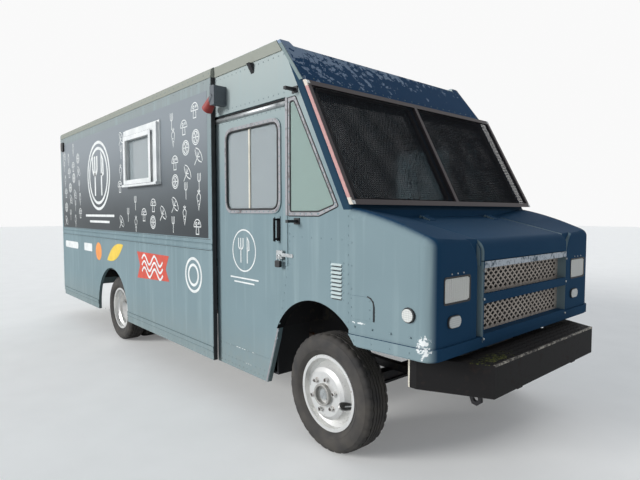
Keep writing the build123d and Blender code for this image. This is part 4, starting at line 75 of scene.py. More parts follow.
# %% Driving sizes
AXLE_X = 2.700
BODY_HALF = 1.168
CAB_HALF = 1.128
DOOR_HALF = 1.105
SPLIT_X = AXLE_X - 1.385
DOOR_POST_X = AXLE_X - 0.386
COWL_X = AXLE_X + 0.280
BODY_REAR_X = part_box("side_wall_right")[0].x
FACE_X = AXLE_X + 0.870
HOOD_FRONT_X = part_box("hood_lid")[1].x
VISOR = Vector((AXLE_X - 0.192, 2.556))
WINDSHIELD_LEAN = math.radians(28.1)
WALL_TOP_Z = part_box("side_wall_right")[1].z
SIDES = (("right", -1), ("left", 1))


def windshield_x(z, proud=0.0):
    """Station of the windshield wall's front face at a height, or of a face proud of it."""
    return VISOR.x + (VISOR.y - z) * math.tan(WINDSHIELD_LEAN) + proud


print("walls end at height", WALL_TOP_Z, "and the nose's face stands at", FACE_X)


# %% [markdown]
# ## Camera
# The photograph was taken at about eye height off the right front corner, with a fairly wide lens. A camera
# could be placed by eye. This one was fitted to points of an assumed size, so that the render lines up.

# %% Camera
camera_data = bpy.data.cameras.new("photo_camera")
camera = bpy.data.objects.new("photo_camera", camera_data)
bpy.context.scene.collection.objects.link(camera)
camera_data.sensor_width = 36.0
camera_data.lens = 27.54
camera.location = (5.1394, -3.2887, 1.6423)
camera.rotation_euler = (math.radians(90 - 3.2178), 0, math.radians(48.5843))
bpy.context.scene.camera = camera
print("camera at", camera.location[:])

# %% [markdown]
# ## Helpers for materials
# Paint charts and screens give colours as sRGB hex values, while shaders work in linear light. One function
# turns the first into the second, and one adds a node with its settings and links. Building trees by hand in
# the editor works as well, but a finish written down can be read, compared and used again.


# %% Colour and node helpers
def linear(hex_value, alpha=1.0):
    """A hex colour as linear red, green, blue and alpha."""
    channels = [int(hex_value[i:i + 2], 16) / 255 for i in (1, 3, 5)]
    return tuple(c / 12.92 if c <= 0.04045 else ((c + 0.055) / 1.055) ** 2.4 for c in channels) + (alpha,)


def add(tree, kind, settings=None, links=None):
    """Adds a shader node. Settings go to its inputs or properties, and links join its inputs to outputs.

    A node that is given as a link stands for its first output.
    """
    node = tree.nodes.new("ShaderNode" + kind)
    for key, value in (settings or {}).items():
        if isinstance(key, str) and hasattr(node, key):
            setattr(node, key, value)
        else:
            node.inputs[key].default_value = value
    for key, source in (links or {}).items():
        tree.links.new(source.outputs[0] if isinstance(source, bpy.types.Node) else source, node.inputs[key])
    return node


# %% A finish to start from
def finish_named(name, roughness, metallic=0.0, colour="#808080"):
    """A new material with one principled shader, its tree, the shader and the place of each point in metres."""
    material = bpy.data.materials.new(name)
    material.use_nodes = True
    tree = material.node_tree
    shader = tree.nodes["Principled BSDF"]
    shader.inputs["Base Color"].default_value = linear(colour)
    shader.inputs["Roughness"].default_value = roughness
    shader.inputs["Metallic"].default_value = metallic
    place = add(tree, "TexCoord").outputs["Object"]
    return material, tree, shader, place


def per_metre(size_mm):
    """The noise scale whose blotches are about as large as a size in millimetres."""
    return 1000.0 / size_mm


print("blotches of 50 mm need a noise scale of", per_metre(50))


# %% Second colours and where they show
def cover(material, mask, colour):
    """Lays another colour over a finish where a mask is 1. What was there before shows elsewhere."""
    tree = material.node_tree
    base = tree.nodes["Principled BSDF"].inputs["Base Color"]
    over = add(tree, "Mix", {"data_type": "RGBA", 6: tuple(base.default_value), 7: linear(colour)}, {0: mask})
    if base.links:
        tree.links.new(base.links[0].from_socket, over.inputs[6])
    tree.links.new(over.outputs[2], base)


def scuff(material, centre, size, grain_mm, share, colour):
    """Scrapes a finish in streaks near a place: fewer of them further from its centre."""
    tree = material.node_tree
    place = add(tree, "TexCoord").outputs["Object"]
    away = add(tree, "Mapping", {"vector_type": "TEXTURE", "Location": centre, "Scale": size},
               {"Vector": place})
    far = add(tree, "VectorMath", {"operation": "DOT_PRODUCT"}, {0: away, 1: away})
    streaks = add(tree, "TexNoise", {"Scale": per_metre(grain_mm), "Detail": 6.0, "Roughness": 0.7},
                  {"Vector": place})
    left = add(tree, "Math", {"operation": "MULTIPLY_ADD", 1: -0.25},
               {0: far.outputs["Value"], 2: streaks.outputs["Fac"]})
    mask = add(tree, "MapRange", {"From Min": 1.0 - share, "From Max": 1.0 - share + 0.02},
               {"Value": left})
    cover(material, mask, colour)


def inside(material, low, high):
    """A mask that is 1 inside a box, counted out from the van's middle so that it holds on both sides."""
    tree = material.node_tree
    place = add(tree, "TexCoord").outputs["Object"]
    both_sides = add(tree, "VectorMath", {"operation": "ABSOLUTE"}, {0: place})
    parts = add(tree, "SeparateXYZ", None, {0: both_sides})
    mask = None
    for axis in range(3):
        for bound, operation in ((low[axis], "GREATER_THAN"), (high[axis], "LESS_THAN")):
            test = add(tree, "Math", {"operation": operation, 1: bound}, {0: parts.outputs[axis]})
            mask = test if mask is None else add(tree, "Math", {"operation": "MULTIPLY"}, {0: mask, 1: test})
    return mask


# %% [markdown]
# ## Body paint
# The panels are riveted aluminium under one petrol grey matte paint, on the sides and the roof. On the nose
# and over the windshield it is painted navy as painted shade, where those faces look forward into shade. Matte
# paint gives the eye a broad, soft highlight and shows its life. Faces that look sideways are paler: partly
# chalked paint, more so near the roof, and partly painted light, the lit side against shaded fronts and tops.
# The sides have paler streaks, dust along the foot and, here and there, flakes that have come off down to a
# pale layer. A painted image would need every panel unwrapped, so noise at its true size in millimetres does
# the work instead.


# %% Body paint
def rolled_paint(name, flaking, flake_size, dark="#5c6f74", light="#6c8084", flake="#c3cbca", lean=(0, 0, 0),
                 sunned="#a9b1ae"):
    """Hand-rolled matte paint that flakes off to its primer, more so where lean points.

    Faces that look sideways are paler, partly chalked paint and partly painted light, lit sides against
    shaded fronts and tops. Near the roof they go toward the sunned colour.
    """
    material, tree, shader, place = finish_named(name, 0.75)
    shader.inputs["Specular IOR Level"].default_value = 0.08
    clouds = add(tree, "TexNoise", {"Scale": per_metre(700), "Detail": 4.0}, {"Vector": place})
    shaded_front_and_top_colour = add(tree, "Mix", {"data_type": "RGBA", 6: linear(dark), 7: linear(light)},
                {0: clouds.outputs["Fac"]})
    chalked_and_lit_colour = add(tree, "Mix", {"data_type": "RGBA", 6: linear("#6f8287"), 7: linear("#7f9196")},
                 {0: clouds.outputs["Fac"]})
    height = add(tree, "SeparateXYZ", None, {0: place})
    near_roof = add(tree, "MapRange", {"From Min": 1.75, "From Max": 2.75, "To Max": 0.8},
                    {"Value": height.outputs["Z"]})
    palest = add(tree, "Mix", {"data_type": "RGBA", 7: linear(sunned)},
                 {0: near_roof, 6: chalked_and_lit_colour.outputs[2]})
    # Painted light in part: sideways faces take the paler chalked colour, fronts and tops the darker one.
    facing = add(tree, "NewGeometry")
    across = add(tree, "SeparateXYZ", None, {0: facing.outputs["Normal"]})
    sideways = add(tree, "Math", {"operation": "ABSOLUTE"}, {0: across.outputs["Y"]})
    chalked_and_lit_sides = add(tree, "MapRange", {"From Min": 0.35, "From Max": 0.80}, {"Value": sideways})
    base = add(tree, "Mix", {"data_type": "RGBA"}, {0: chalked_and_lit_sides, 6: shaded_front_and_top_colour.outputs[2], 7: palest.outputs[2]})
    tree.links.new(base.outputs[2], shader.inputs["Base Color"])
    tall = add(tree, "Mapping", {"Scale": (1.0, 1.0, 0.06)}, {"Vector": place})
    rain = add(tree, "TexNoise", {"Scale": per_metre(60), "Detail": 3.0}, {"Vector": tall})
    rain_line = add(tree, "MapRange", {"From Min": 0.52, "From Max": 0.8, "To Max": 0.4},
                    {"Value": rain.outputs["Fac"]})
    on_sides = add(tree, "Math", {"operation": "MULTIPLY"}, {0: rain_line, 1: chalked_and_lit_sides})
    cover(material, on_sides, "#97a8aa")
    foot = add(tree, "MapRange", {"From Min": 0.75, "From Max": 0.30, "To Max": 0.45},
               {"Value": height.outputs["Z"]})
    dust_noise = add(tree, "TexNoise", {"Scale": per_metre(45), "Detail": 6.0}, {"Vector": place})
    dust = add(tree, "Math", {"operation": "MULTIPLY"}, {0: foot, 1: dust_noise.outputs["Fac"]})
    cover(material, dust, "#8c877a")
    flakes = add(tree, "TexNoise",
                 {"Scale": per_metre(flake_size), "Detail": 9.0, "Roughness": 0.66, "Distortion": 0.3},
                 {"Vector": place})
    leaning = add(tree, "VectorMath", {"operation": "DOT_PRODUCT", 1: lean}, {0: place})
    loose = add(tree, "Math", {"operation": "ADD"}, {0: flakes.outputs["Fac"], 1: leaning.outputs["Value"]})
    edge = 0.78 - flaking
    flaked = add(tree, "MapRange", {"From Min": edge, "From Max": edge + 0.012}, {"Value": loose})
    cover(material, flaked, flake)
    peel = add(tree, "TexNoise", {"Scale": per_metre(6), "Detail": 2.0}, {"Vector": place})
    peel_bump = add(tree, "Bump", {"Strength": 0.12, "Distance": 0.0008}, {"Height": peel.outputs["Fac"]})
    step = add(tree, "Bump", {"Strength": 0.5, "Distance": 0.0012, "invert": True},
               {"Height": flaked, "Normal": peel_bump})
    tree.links.new(step.outputs[0], shader.inputs["Normal"])
    return material


# %% The van's paints and their scrapes
side_paint = rolled_paint("rolled_matte_paint", 0.02, 60, sunned="#8f9594")
cab_side_paint = rolled_paint("rolled_matte_paint_on_cab_side", 0.02, 60)
door_paint = rolled_paint("rolled_matte_paint_on_door", 0.02, 60)
# Painted shade: the nose and the cab front are the sides' grey paint, darkened and blued to navy.
nose_paint = rolled_paint("rolled_matte_paint_on_moulding", 0.01, 45, "#133551", "#1f425d")
cab_front_paint = rolled_paint("rolled_matte_paint_on_cab_front", 0.01, 45, "#133551", "#1f425d")
roof_paint = rolled_paint("flaking_roof_paint", -4.10, 90, "#63757a", "#73868a", "#c9cfce", (0.02, 0.0, 1.5))
# Painted shade: the cap is the same grey paint, darkened and blued to navy.
cap_paint = rolled_paint("flaking_front_paint", -1.29, 60, "#0f3150", "#1a3f5f", "#7f90a4", (0.0, -0.08, 0.55))
scuff(nose_paint, (3.52, -1.10, 0.900), (0.075, 0.06, 0.095), 24, 0.55, "#dcdfde")
scuff(nose_paint, (3.06, -1.15, 0.962), (0.09, 0.05, 0.010), 30, 0.55, "#d5dada")
scuff(door_paint, (1.95, -1.105, 0.350), (0.35, 0.05, 0.006), 70, 0.46, "#e4e4df")
scuff(door_paint, (1.85, -1.105, 0.397), (0.35, 0.05, 0.006), 70, 0.46, "#e4e4df")
scuff(door_paint, (1.65, -1.105, 0.505), (0.40, 0.05, 0.006), 60, 0.45, "#d9dcda")
# The door's handle is black.
cover(door_paint, inside(door_paint, (2.17, 1.107, 1.43), (2.23, 1.20, 1.60)), "#191a1d")
print("paints mixed, scrapes on the nose and along the door's foot")

# %% Arches, painted shade and bands
# Painted shade: the arch's flange and what lies behind it are painted black, so that the opening reads as a
# hole in shade.
ARCH_CENTRE = (AXLE_X - 0.070, 0, 0.555)
ARCH_RADIUS = 0.4835
for paint in (cab_side_paint, nose_paint):
    arch_tree = paint.node_tree
    arch_place = add(arch_tree, "TexCoord").outputs["Object"]
    from_centre = add(arch_tree, "Mapping",
                      {"vector_type": "TEXTURE", "Location": ARCH_CENTRE, "Scale": (1, 1000, 1)},
                      {"Vector": arch_place})
    reach = add(arch_tree, "VectorMath", {"operation": "LENGTH"}, {0: from_centre})
    within_arch = add(arch_tree, "Math", {"operation": "LESS_THAN", 1: ARCH_RADIUS},
                      {0: reach.outputs["Value"]})
    cover(paint, within_arch, "#131416")

# Painted shade: the narrow corner post in front of the quarter window, and the cab front above the cowl,
# are painted dark navy for the shade that lies on them.
post_tree = cab_side_paint.node_tree
post_place = add(post_tree, "TexCoord").outputs["Object"]
slope = add(post_tree, "VectorMath", {"operation": "DOT_PRODUCT", 1: (1, 0, math.tan(WINDSHIELD_LEAN))},
            {0: post_place})
near_glass = add(post_tree, "Math",
                 {"operation": "GREATER_THAN", 1: VISOR.x + VISOR.y * math.tan(WINDSHIELD_LEAN) - 0.072},
                 {0: slope.outputs["Value"]})
ABOVE_COWL = ((0, 0, 1.66), (4, 2, 3))
PAINTED_SHADE_NAVY = "#223a4c"
above_cowl = add(post_tree, "Math", {"operation": "MULTIPLY"},
                 {0: near_glass, 1: inside(cab_side_paint, *ABOVE_COWL)})
cover(cab_side_paint, above_cowl, PAINTED_SHADE_NAVY)
cover(cab_front_paint, inside(cab_front_paint, *ABOVE_COWL), PAINTED_SHADE_NAVY)
# The louvres, the roof's side band and the cap's folded edges each have a tone of their own.
cover(cab_side_paint, inside(cab_side_paint, (2.79, 1.1290, 1.08), (2.91, 1.2, 1.34)), "#bac6c5")
cover(roof_paint, inside(roof_paint, (-4, 1.10, 2.79), (4, 2, 2.884)), "#91948b")
cover(cap_paint, inside(cap_paint, (1, 1.121, 2.5), (4, 1.3, 2.86)), "#7b8989")
print("arches blackened within", ARCH_RADIUS, "of their centre")

# %% [markdown]
# ## Metals
# Bare aluminium trim is extruded, and weather has dulled it to a soft grey shine with darker patches. The
# wheels wear silver enamel with brown specks where stones hit them. Chassis steel is painted black and coated
# in road dust, and the bumper and the guard's mesh are a flat black. One function serves them all, since each
# is a base with a second colour that breaks through in specks.


# %% Metals
def worn_metal(name, colour, stain, roughness, metallic, stain_share, stain_size):
    """A metal or enamel with a second colour that breaks through in specks and patches."""
    material, tree, shader, place = finish_named(name, roughness, metallic, colour)
    cloud = add(tree, "TexNoise", {"Scale": per_metre(180), "Detail": 5.0}, {"Vector": place})
    speck = add(tree, "TexNoise", {"Scale": per_metre(stain_size), "Detail": 8.0, "Roughness": 0.65},
                {"Vector": place})
    both = add(tree, "Math", {"operation": "MULTIPLY_ADD", 1: 0.35},
               {0: cloud.outputs["Fac"], 2: speck.outputs["Fac"]})
    low = 0.90 - 0.5 * stain_share
    share = add(tree, "MapRange", {"From Min": low, "From Max": low + 0.16}, {"Value": both})
    cover(material, share, stain)
    dull = add(tree, "MapRange", {"To Min": roughness, "To Max": min(1.0, roughness + 0.25)},
               {"Value": share})
    tree.links.new(dull.outputs[0], shader.inputs["Roughness"])
    grain = add(tree, "TexNoise", {"Scale": per_metre(4), "Detail": 3.0}, {"Vector": place})
    bump = add(tree, "Bump", {"Strength": 0.15, "Distance": 0.0006}, {"Height": grain.outputs["Fac"]})
    tree.links.new(bump.outputs[0], shader.inputs["Normal"])
    return material


# %% The van's metals
extruded_aluminium = worn_metal("extruded_aluminium", "#b4b8b9", "#7c8183", 0.42, 0.85, 0.42, 70)
dull_aluminium = worn_metal("weathered_aluminium", "#8f8f92", "#6d6869", 0.6, 0.25, 0.42, 60)
chequer_aluminium = worn_metal("chequer_aluminium", "#9a9d9e", "#6e6a62", 0.5, 0.7, 0.4, 90)
wheel_enamel = worn_metal("silver_wheel_enamel", "#dcdcda", "#8f867c", 0.30, 0.55, 0.24, 14)
hub_iron = worn_metal("cast_iron_hub", "#9b9a96", "#6b5d50", 0.5, 0.5, 0.3, 20)
chassis_steel = worn_metal("dusty_chassis_steel", "#1f1f22", "#4a443b", 0.7, 0.2, 0.36, 60)
black_enamel = worn_metal("black_enamelled_steel", "#1a1b1e", "#34343a", 0.45, 0.1, 0.30, 40)
exhaust_steel = worn_metal("rusty_exhaust_steel", "#5f5750", "#6e3f25", 0.75, 0.4, 0.5, 40)
bumper_steel = worn_metal("bumper_paint_on_steel", "#131213", "#2a2422", 0.7, 0.0, 0.30, 50)
chipped_edge = worn_metal("chipped_bumper_edge", "#241f1e", "#b0aa9e", 0.6, 0.1, 0.56, 30)
chipped_silver = worn_metal("chipped_silver_paint", "#aab2ba", "#2f4350", 0.45, 0.2, 0.46, 30)
guard_wire = worn_metal("guard_mesh_steel", "#0d0e15", "#211d1f", 0.7, 0.0, 0.30, 30)
grille_mesh = worn_metal("galvanised_grille_mesh", "#a99f95", "#6e655d", 0.5, 0.4, 0.42, 12)
cast_engine = worn_metal("cast_engine_iron", "#3a3b3d", "#5a4a3a", 0.7, 0.4, 0.36, 40)
# The bumper and the guard's mesh wear a flat black coat, which mirrors little.
for flat_coat in (bumper_steel, guard_wire):
    flat_coat.node_tree.nodes["Principled BSDF"].inputs["Specular IOR Level"].default_value = 0.22
# The top of the bumper is stained along its front corner, and the studs of the front wheels have rusted.
scuff(bumper_steel, (3.66, -0.60, 0.768), (0.10, 0.34, 0.010), 20, 0.52, "#5a5d2c")
AXLE_Z = 0.405
STUD_CIRCLE = 0.111
for stud in range(6):
    turn = math.radians(16 + 60 * stud)
    stud_place = (AXLE_X + STUD_CIRCLE * math.cos(turn), -1.10, AXLE_Z + STUD_CIRCLE * math.sin(turn))
    scuff(wheel_enamel, stud_place, (0.026, 0.04, 0.026), 9, 0.55, "#8a6a50")
    scuff(wheel_enamel, stud_place, (0.0125, 0.04, 0.0125), 9, 0.80, "#4f4742")
print("metals ready")

# %% [markdown]
# ## Rubber, plastic and film
# Tyres are carbon-filled rubber, black when new and grey-brown with dust on the tread. Seals are softer,
# blacker rubber. The dark panel on the cargo wall is calendered vinyl film, smoother than the paint round it
# and paler toward its top edge. All are moulded or rolled stuff: one colour, a faint second tone, a fine grain.


# %% Rubber, plastic and film
def moulded(name, colour, mottle, roughness, mottle_size, bump_size):
    """Moulded or calendered stuff with a faint second tone and a fine surface."""
    material, tree, shader, place = finish_named(name, roughness, 0.0, colour)
    cloud = add(tree, "TexNoise", {"Scale": per_metre(mottle_size), "Detail": 6.0}, {"Vector": place})
    share = add(tree, "MapRange", {"From Min": 0.35, "From Max": 0.75}, {"Value": cloud.outputs["Fac"]})
    cover(material, share, mottle)
    fine = add(tree, "TexNoise", {"Scale": per_metre(bump_size), "Detail": 2.0}, {"Vector": place})
    bump = add(tree, "Bump", {"Strength": 0.1, "Distance": 0.0005}, {"Height": fine.outputs["Fac"]})
    tree.links.new(bump.outputs[0], shader.inputs["Normal"])
    return material


tyre_rubber = moulded("tyre_rubber", "#2b2a2a", "#45413c", 0.82, 120, 3)
seal_rubber = moulded("seal_rubber", "#141517", "#26282a", 0.6, 60, 2)
dash_plastic = moulded("abs_dash_plastic", "#2c2d30", "#37383b", 0.55, 200, 1.5)
seat_vinyl = moulded("seat_vinyl", "#2f3033", "#3d3e42", 0.5, 90, 3)
wrap_film = moulded("calendered_vinyl_film", "#34393c", "#3c4245", 0.42, 900, 40)
white_print = moulded("white_cut_vinyl", "#dfe1df", "#c9cdcc", 0.45, 80, 40)
orange_print = moulded("orange_cut_vinyl", "#e8923c", "#d98336", 0.45, 80, 40)
yellow_print = moulded("yellow_cut_vinyl", "#e3c13a", "#d4b233", 0.45, 80, 40)
red_print = moulded("red_cut_vinyl", "#c8452f", "#b53c28", 0.45, 80, 40)
white_frame = moulded("powder_coated_white", "#dcdedd", "#c4c8c8", 0.4, 150, 8)
cream_bar = moulded("cream_enamel", "#cfcabb", "#b7b2a4", 0.45, 60, 8)
black_plastic = moulded("black_nylon", "#111214", "#1b1c1e", 0.55, 50, 2)
# The film's colour goes paler toward its top edge.
film_tree = wrap_film.node_tree
film_place = add(film_tree, "SeparateXYZ", None, {0: add(film_tree, "TexCoord").outputs["Object"]})
haze = add(film_tree, "MapRange", {"interpolation_type": "SMOOTHSTEP", "From Min": 1.45, "From Max": 2.60},
           {"Value": film_place.outputs["Z"]})
cover(wrap_film, haze, "#80878c")
film_tree.nodes["Principled BSDF"].inputs["Specular IOR Level"].default_value = 0.15

# %% [markdown]
# ## Two finishes in one node
# The power inlet is a grey box with a red socket. The windshield guard is a worn pink on its outer side, and
# the rest of it is painted dark brown as painted shade, the shade that lies on its front. Where one node holds
# two finishes, the place of a point along one axis decides which it gets.


# %% Finishes by place
def by_place(name, axis, split, below, above, roughness):
    """One plastic below a place on an axis and another above it, with a faint mottle."""
    material, tree, shader, place = finish_named(name, roughness)
    parts = add(tree, "SeparateXYZ", None, {0: place})
    side = add(tree, "MapRange", {"From Min": split - 0.0005, "From Max": split + 0.0005},
               {"Value": parts.outputs[axis]})
    mixed = add(tree, "Mix", {"data_type": "RGBA", 6: linear(below), 7: linear(above)},
                {0: side})
    cloud = add(tree, "TexNoise", {"Scale": per_metre(20), "Detail": 5.0}, {"Vector": place})
    shade = add(tree, "MapRange", {"To Min": 0.75, "To Max": 1.15}, {"Value": cloud.outputs["Fac"]})
    worn = add(tree, "VectorMath", {"operation": "SCALE"}, {0: mixed.outputs[2], "Scale": shade})
    tree.links.new(worn.outputs[0], shader.inputs["Base Color"])
    return material


SOCKET_X = AXLE_X - 1.225 - 0.036
GUARD_EDGE_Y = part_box("windshield_guard")[0].y + 0.004
inlet_plastic = by_place("inlet_plastic", "X", SOCKET_X, "#8e2f2a", "#4b5258", 0.5)
# Painted shade: all of the guard but its outer side is dark brown, for the shade on its front.
guard_paint = by_place("guard_angle_iron", "Y", GUARD_EDGE_Y, "#b48783", "#2b2226", 0.55)
# The guard's side is palest near its foot and its head.
for low, high in ((1.66, 1.735), (2.490, 2.60)):
    cover(guard_paint, inside(guard_paint, (0, 1.150, low), (4, 1.3, high)), "#c9bfb2")

# %% [markdown]
# ## Glass and lamps
# Flat glass is nearly colourless and slightly green. Lamp lenses are clear polycarbonate that has yellowed,
# over a bright reflector, and the small lamps show pale cells. Fully clear panes would vanish in the render,
# so each lets only part of the light through and keeps its tint for the rest.


# %% Glass and lamps
def pane_glass(name, tint, transmission, roughness):
    """Sheet glass: mostly clear, with a tint where it is thick."""
    material, tree, shader, place = finish_named(name, roughness, 0.0, tint)
    shader.inputs["IOR"].default_value = 1.45
    shader.inputs["Transmission Weight"].default_value = transmission
    smear = add(tree, "TexNoise", {"Scale": per_metre(300), "Detail": 5.0}, {"Vector": place})
    haze = add(tree, "MapRange", {"To Min": roughness, "To Max": roughness + 0.12},
               {"Value": smear.outputs["Fac"]})
    tree.links.new(haze.outputs[0], shader.inputs["Roughness"])
    return material


window_glass = pane_glass("tinted_sheet_glass", "#76868c", 0.86, 0.02)
dusty_glass = pane_glass("dusty_sheet_glass", "#c3cdd0", 0.58, 0.03)
green_glass = pane_glass("green_laminated_glass", "#b4cbc4", 0.58, 0.03)
lens_glass = pane_glass("aged_polycarbonate_lens", "#f6f5ee", 0.4, 0.06)
reflector = worn_metal("lamp_reflector", "#d9d9d3", "#a8a69a", 0.18, 0.9, 0.3, 30)


def lamp_lens(name, colour, cell):
    """Moulded lens with a prism pattern: square cells that catch the light."""
    material, tree, shader, place = finish_named(name, 0.2, 0.0, colour)
    cells = add(tree, "TexVoronoi", {"Scale": per_metre(cell), "Randomness": 0.0}, {"Vector": place})
    cover(material, cells.outputs["Distance"], "#8f9292")
    bump = add(tree, "Bump", {"Strength": 0.4, "Distance": 0.001}, {"Height": cells.outputs["Distance"]})
    tree.links.new(bump.outputs[0], shader.inputs["Normal"])
    shader.inputs["Coat Weight"].default_value = 0.5
    return material


clear_lens = lamp_lens("clear_marker_lens", "#dfe0da", 12)
red_lens = lamp_lens("red_tail_lens", "#a3221c", 12)

# %% [markdown]
# ## Dress the CAD nodes
# Most solids already have the right shape, so they only need their finish. We could copy their meshes, but
# it is enough to assign the finish to each object's material slots and leave the mesh alone.

# %% Dress the CAD nodes
finish_of = {
    side_paint: ["side_wall_right", "side_wall_left", "rear_frame", "rear_door_right", "rear_door_left"],
    cab_front_paint: ["cab_front"],
    cab_side_paint: ["cab_side_right", "cab_side_left"],
    door_paint: ["door_right", "door_left"],
    roof_paint: ["roof"],
    cap_paint: ["front_cap"],
    nose_paint: ["nose", "hood_lid"],
    chassis_steel: ["chassis_frame", "front_axle", "rear_axle", "leaf_springs", "drive_shaft", "knuckle_right",
                    "knuckle_left", "tow_hooks", "fuel_tank", "wheel_boxes"],
    black_enamel: ["mirror_stubs", "door_tracks", "step_wells", "radiator"],
    exhaust_steel: ["exhaust"],
    cast_engine: ["engine"],
    extruded_aluminium: ["rear_bumper"],
    chequer_aluminium: ["floor"],
    bumper_steel: ["front_bumper"],
    guard_paint: ["windshield_guard"],
    grille_mesh: ["grille"],
    window_glass: ["cab_glass"],
    dusty_glass: ["door_glass_right", "door_glass_left", "serving_window_pane"],
    wheel_enamel: ["front_rim_right", "front_rim_left", "rear_rims_right", "rear_rims_left"],
    white_frame: ["serving_window_frame"],
    inlet_plastic: ["power_inlet"],
    dash_plastic: ["dash", "engine_cover"],
    seat_vinyl: ["driver_seat"],
    clear_lens: ["marker_lamps"],
}
for material, nodes in finish_of.items():
    for node in nodes:
        for slot in frame["nodes"][node].material_slots:
            slot.link = "OBJECT"
            slot.material = material
print("dressed", sum(len(nodes) for nodes in finish_of.values()), "nodes")

# %% [markdown]
# ## Mesh helpers
# Sheet-metal pieces are outlines pushed through a thickness. An outline is drawn flat, its corners are
# rounded, and a small function says where the flat drawing lies on the van. A plate is one outline at two
# depths, and a frame is two outlines at two depths. Boolean cuts would give the same shapes with worse faces.

# %% Pieces and their slots
# Each finish has a usual slot, and what a piece is made of says which. A piece looks its slot up here when it
# is given none, and does nothing more with it.
SLOT_OF = {finish: slot for slot, finishes in {
    "amber_lens": (red_lens,),
    "bare_aluminium": (extruded_aluminium, dull_aluminium, chipped_silver),
    "body_paint": (side_paint, nose_paint),
    "dark_plastic": (seal_rubber, black_plastic, wrap_film),
    "frame_black": (hub_iron, guard_wire, bumper_steel, chipped_edge, black_enamel),
    "lamp_lens": (reflector, lens_glass),
    "seat_cloth": (seat_vinyl,),
    "tyre_rubber": (tyre_rubber,),
    "white_paint": (white_print, orange_print, yellow_print, red_print, white_frame, cream_bar),
    "window_glass": (green_glass,),
}.items() for finish in finishes}


def piece(name, shape, material, body="body", slot=None):
    """Makes an object of a mesh or a curve, gives it a finish and lets it ride on a body of the frame."""
    if isinstance(shape, bmesh.types.BMesh):
        mesh = bpy.data.meshes.new(name)
        bmesh.ops.recalc_face_normals(shape, faces=shape.faces)
        shape.to_mesh(mesh)
        shape.free()
    else:
        mesh = shape
    made = bpy.data.objects.new(name, mesh)
    bpy.context.scene.collection.objects.link(made)
    mesh.materials.append(material)
    slot = slot or SLOT_OF[material]
    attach(made, body)
    return made


def soften(made, width, segments=2):
    """Rounds the piece's edges a little, as every folded or cut edge is."""
    bevel = made.modifiers.new("edges", "BEVEL")
    bevel.width, bevel.segments, bevel.limit_method = width, segments, "ANGLE"
    return made


def smooth(made):
    """Shades a piece as one curved surface."""
    for polygon in made.data.polygons:
        polygon.use_smooth = True
    return made


print(len(SLOT_OF), "finishes have a usual slot")


# %% Outlines
def from_axle(points):
    """Flat points whose first number is counted from the front axle."""
    return [(AXLE_X + u, v) for u, v in points]


def quad(left, right, low, high):
    return [(left, low), (right, low), (right, high), (left, high)]


def grown(box, margin):
    """A box of left, right, low and high with a margin all round."""
    left, right, low, high = box
    return left - margin, right + margin, low - margin, high + margin


def rounded(corners, radius, steps=4):
    """The outline through these corners with each one rounded."""
    outline = []
    for before, corner, after in zip([corners[-1], *corners[:-1]], corners, [*corners[1:], corners[0]]):
        corner = Vector(corner)
        back, on = Vector(before) - corner, Vector(after) - corner
        reach = min(radius, back.length / 2.2, on.length / 2.2)
        start, end = corner + back.normalized() * reach, corner + on.normalized() * reach
        for i in range(steps + 1):
            t = i / steps
            outline.append((1 - t) ** 2 * start + 2 * t * (1 - t) * corner + t ** 2 * end)
    return outline


def box_outline(left, right, low, high, radius, steps=4):
    return rounded(quad(left, right, low, high), radius, steps)


def round_outline(u, v, radius, steps=32):
    angles = [2 * math.pi * i / steps for i in range(steps)]
    return [(u + radius * math.cos(a), v + radius * math.sin(a)) for a in angles]


print("a disc is drawn with", len(round_outline(0, 0, 1)), "points")


# %% Where a flat drawing lies
def on_side(side, half):
    """Flat drawings in x and z on a wall; depth is how far proud of it."""
    return lambda u, v, depth: (u, side * (half + depth), v)


def facing_front(station):
    """Flat drawings in y and z on a face that looks forward."""
    return lambda u, v, depth: (station + depth, u, v)


def facing_back(station):
    """Flat drawings in y and z on a face that looks back."""
    return lambda u, v, depth: (station - depth, u, v)


def on_windshield(proud):
    """Flat drawings in y and z on the leaning windshield wall."""
    return lambda u, v, depth: (windshield_x(v, proud + depth), u, v)


def laid(outline, to_van, depth):
    """The places on the van of an outline's points."""
    return [to_van(p[0], p[1], depth) for p in outline]


print("a point of the windshield at height 2 stands at", on_windshield(0)(0, 2, 0))


# %% Plates and frames
def band(bm, a, b, closed=True):
    """Joins two rows of as many points with a band of faces."""
    for i in range(len(a) if closed else len(a) - 1):
        j = (i + 1) % len(a)
        bm.faces.new((a[i], a[j], b[j], b[i]))


def slab(bm, outline, near, far, to_van):
    """Adds an outline at two depths with its faces and its rim. to_van turns (u, v, depth) to a place."""
    rings = [[bm.verts.new(p) for p in laid(outline, to_van, depth)] for depth in (near, far)]
    bm.faces.new(rings[0])
    bm.faces.new(list(reversed(rings[1])))
    band(bm, rings[1], rings[0])


def ring(bm, outer, inner, near, far, to_van):
    """Adds a flat frame between two outlines with the same number of points."""
    loops = [[bm.verts.new(p) for p in laid(outline, to_van, depth)]
             for outline, depth in ((outer, near), (outer, far), (inner, far), (inner, near))]
    for a, b in zip(loops, [*loops[1:], loops[0]]):
        band(bm, a, b)


def plate(name, outlines, depths, to_van, material, body="body", slot=None, edge=0.0, segments=2):
    """A piece of one or more plates between two depths; edge is how wide its edges are rounded."""
    bm = bmesh.new()
    for outline in outlines:
        slab(bm, outline, *depths, to_van)
    made = piece(name, bm, material, body, slot)
    return soften(made, edge, segments) if edge else made


def surround(name, outer, inner, depths, to_van, material, body="body", edge=0.0, segments=2):
    """A piece that is a flat frame between two outlines."""
    bm = bmesh.new()
    ring(bm, outer, inner, *depths, to_van)
    made = piece(name, bm, material, body)
    return soften(made, edge, segments) if edge else made


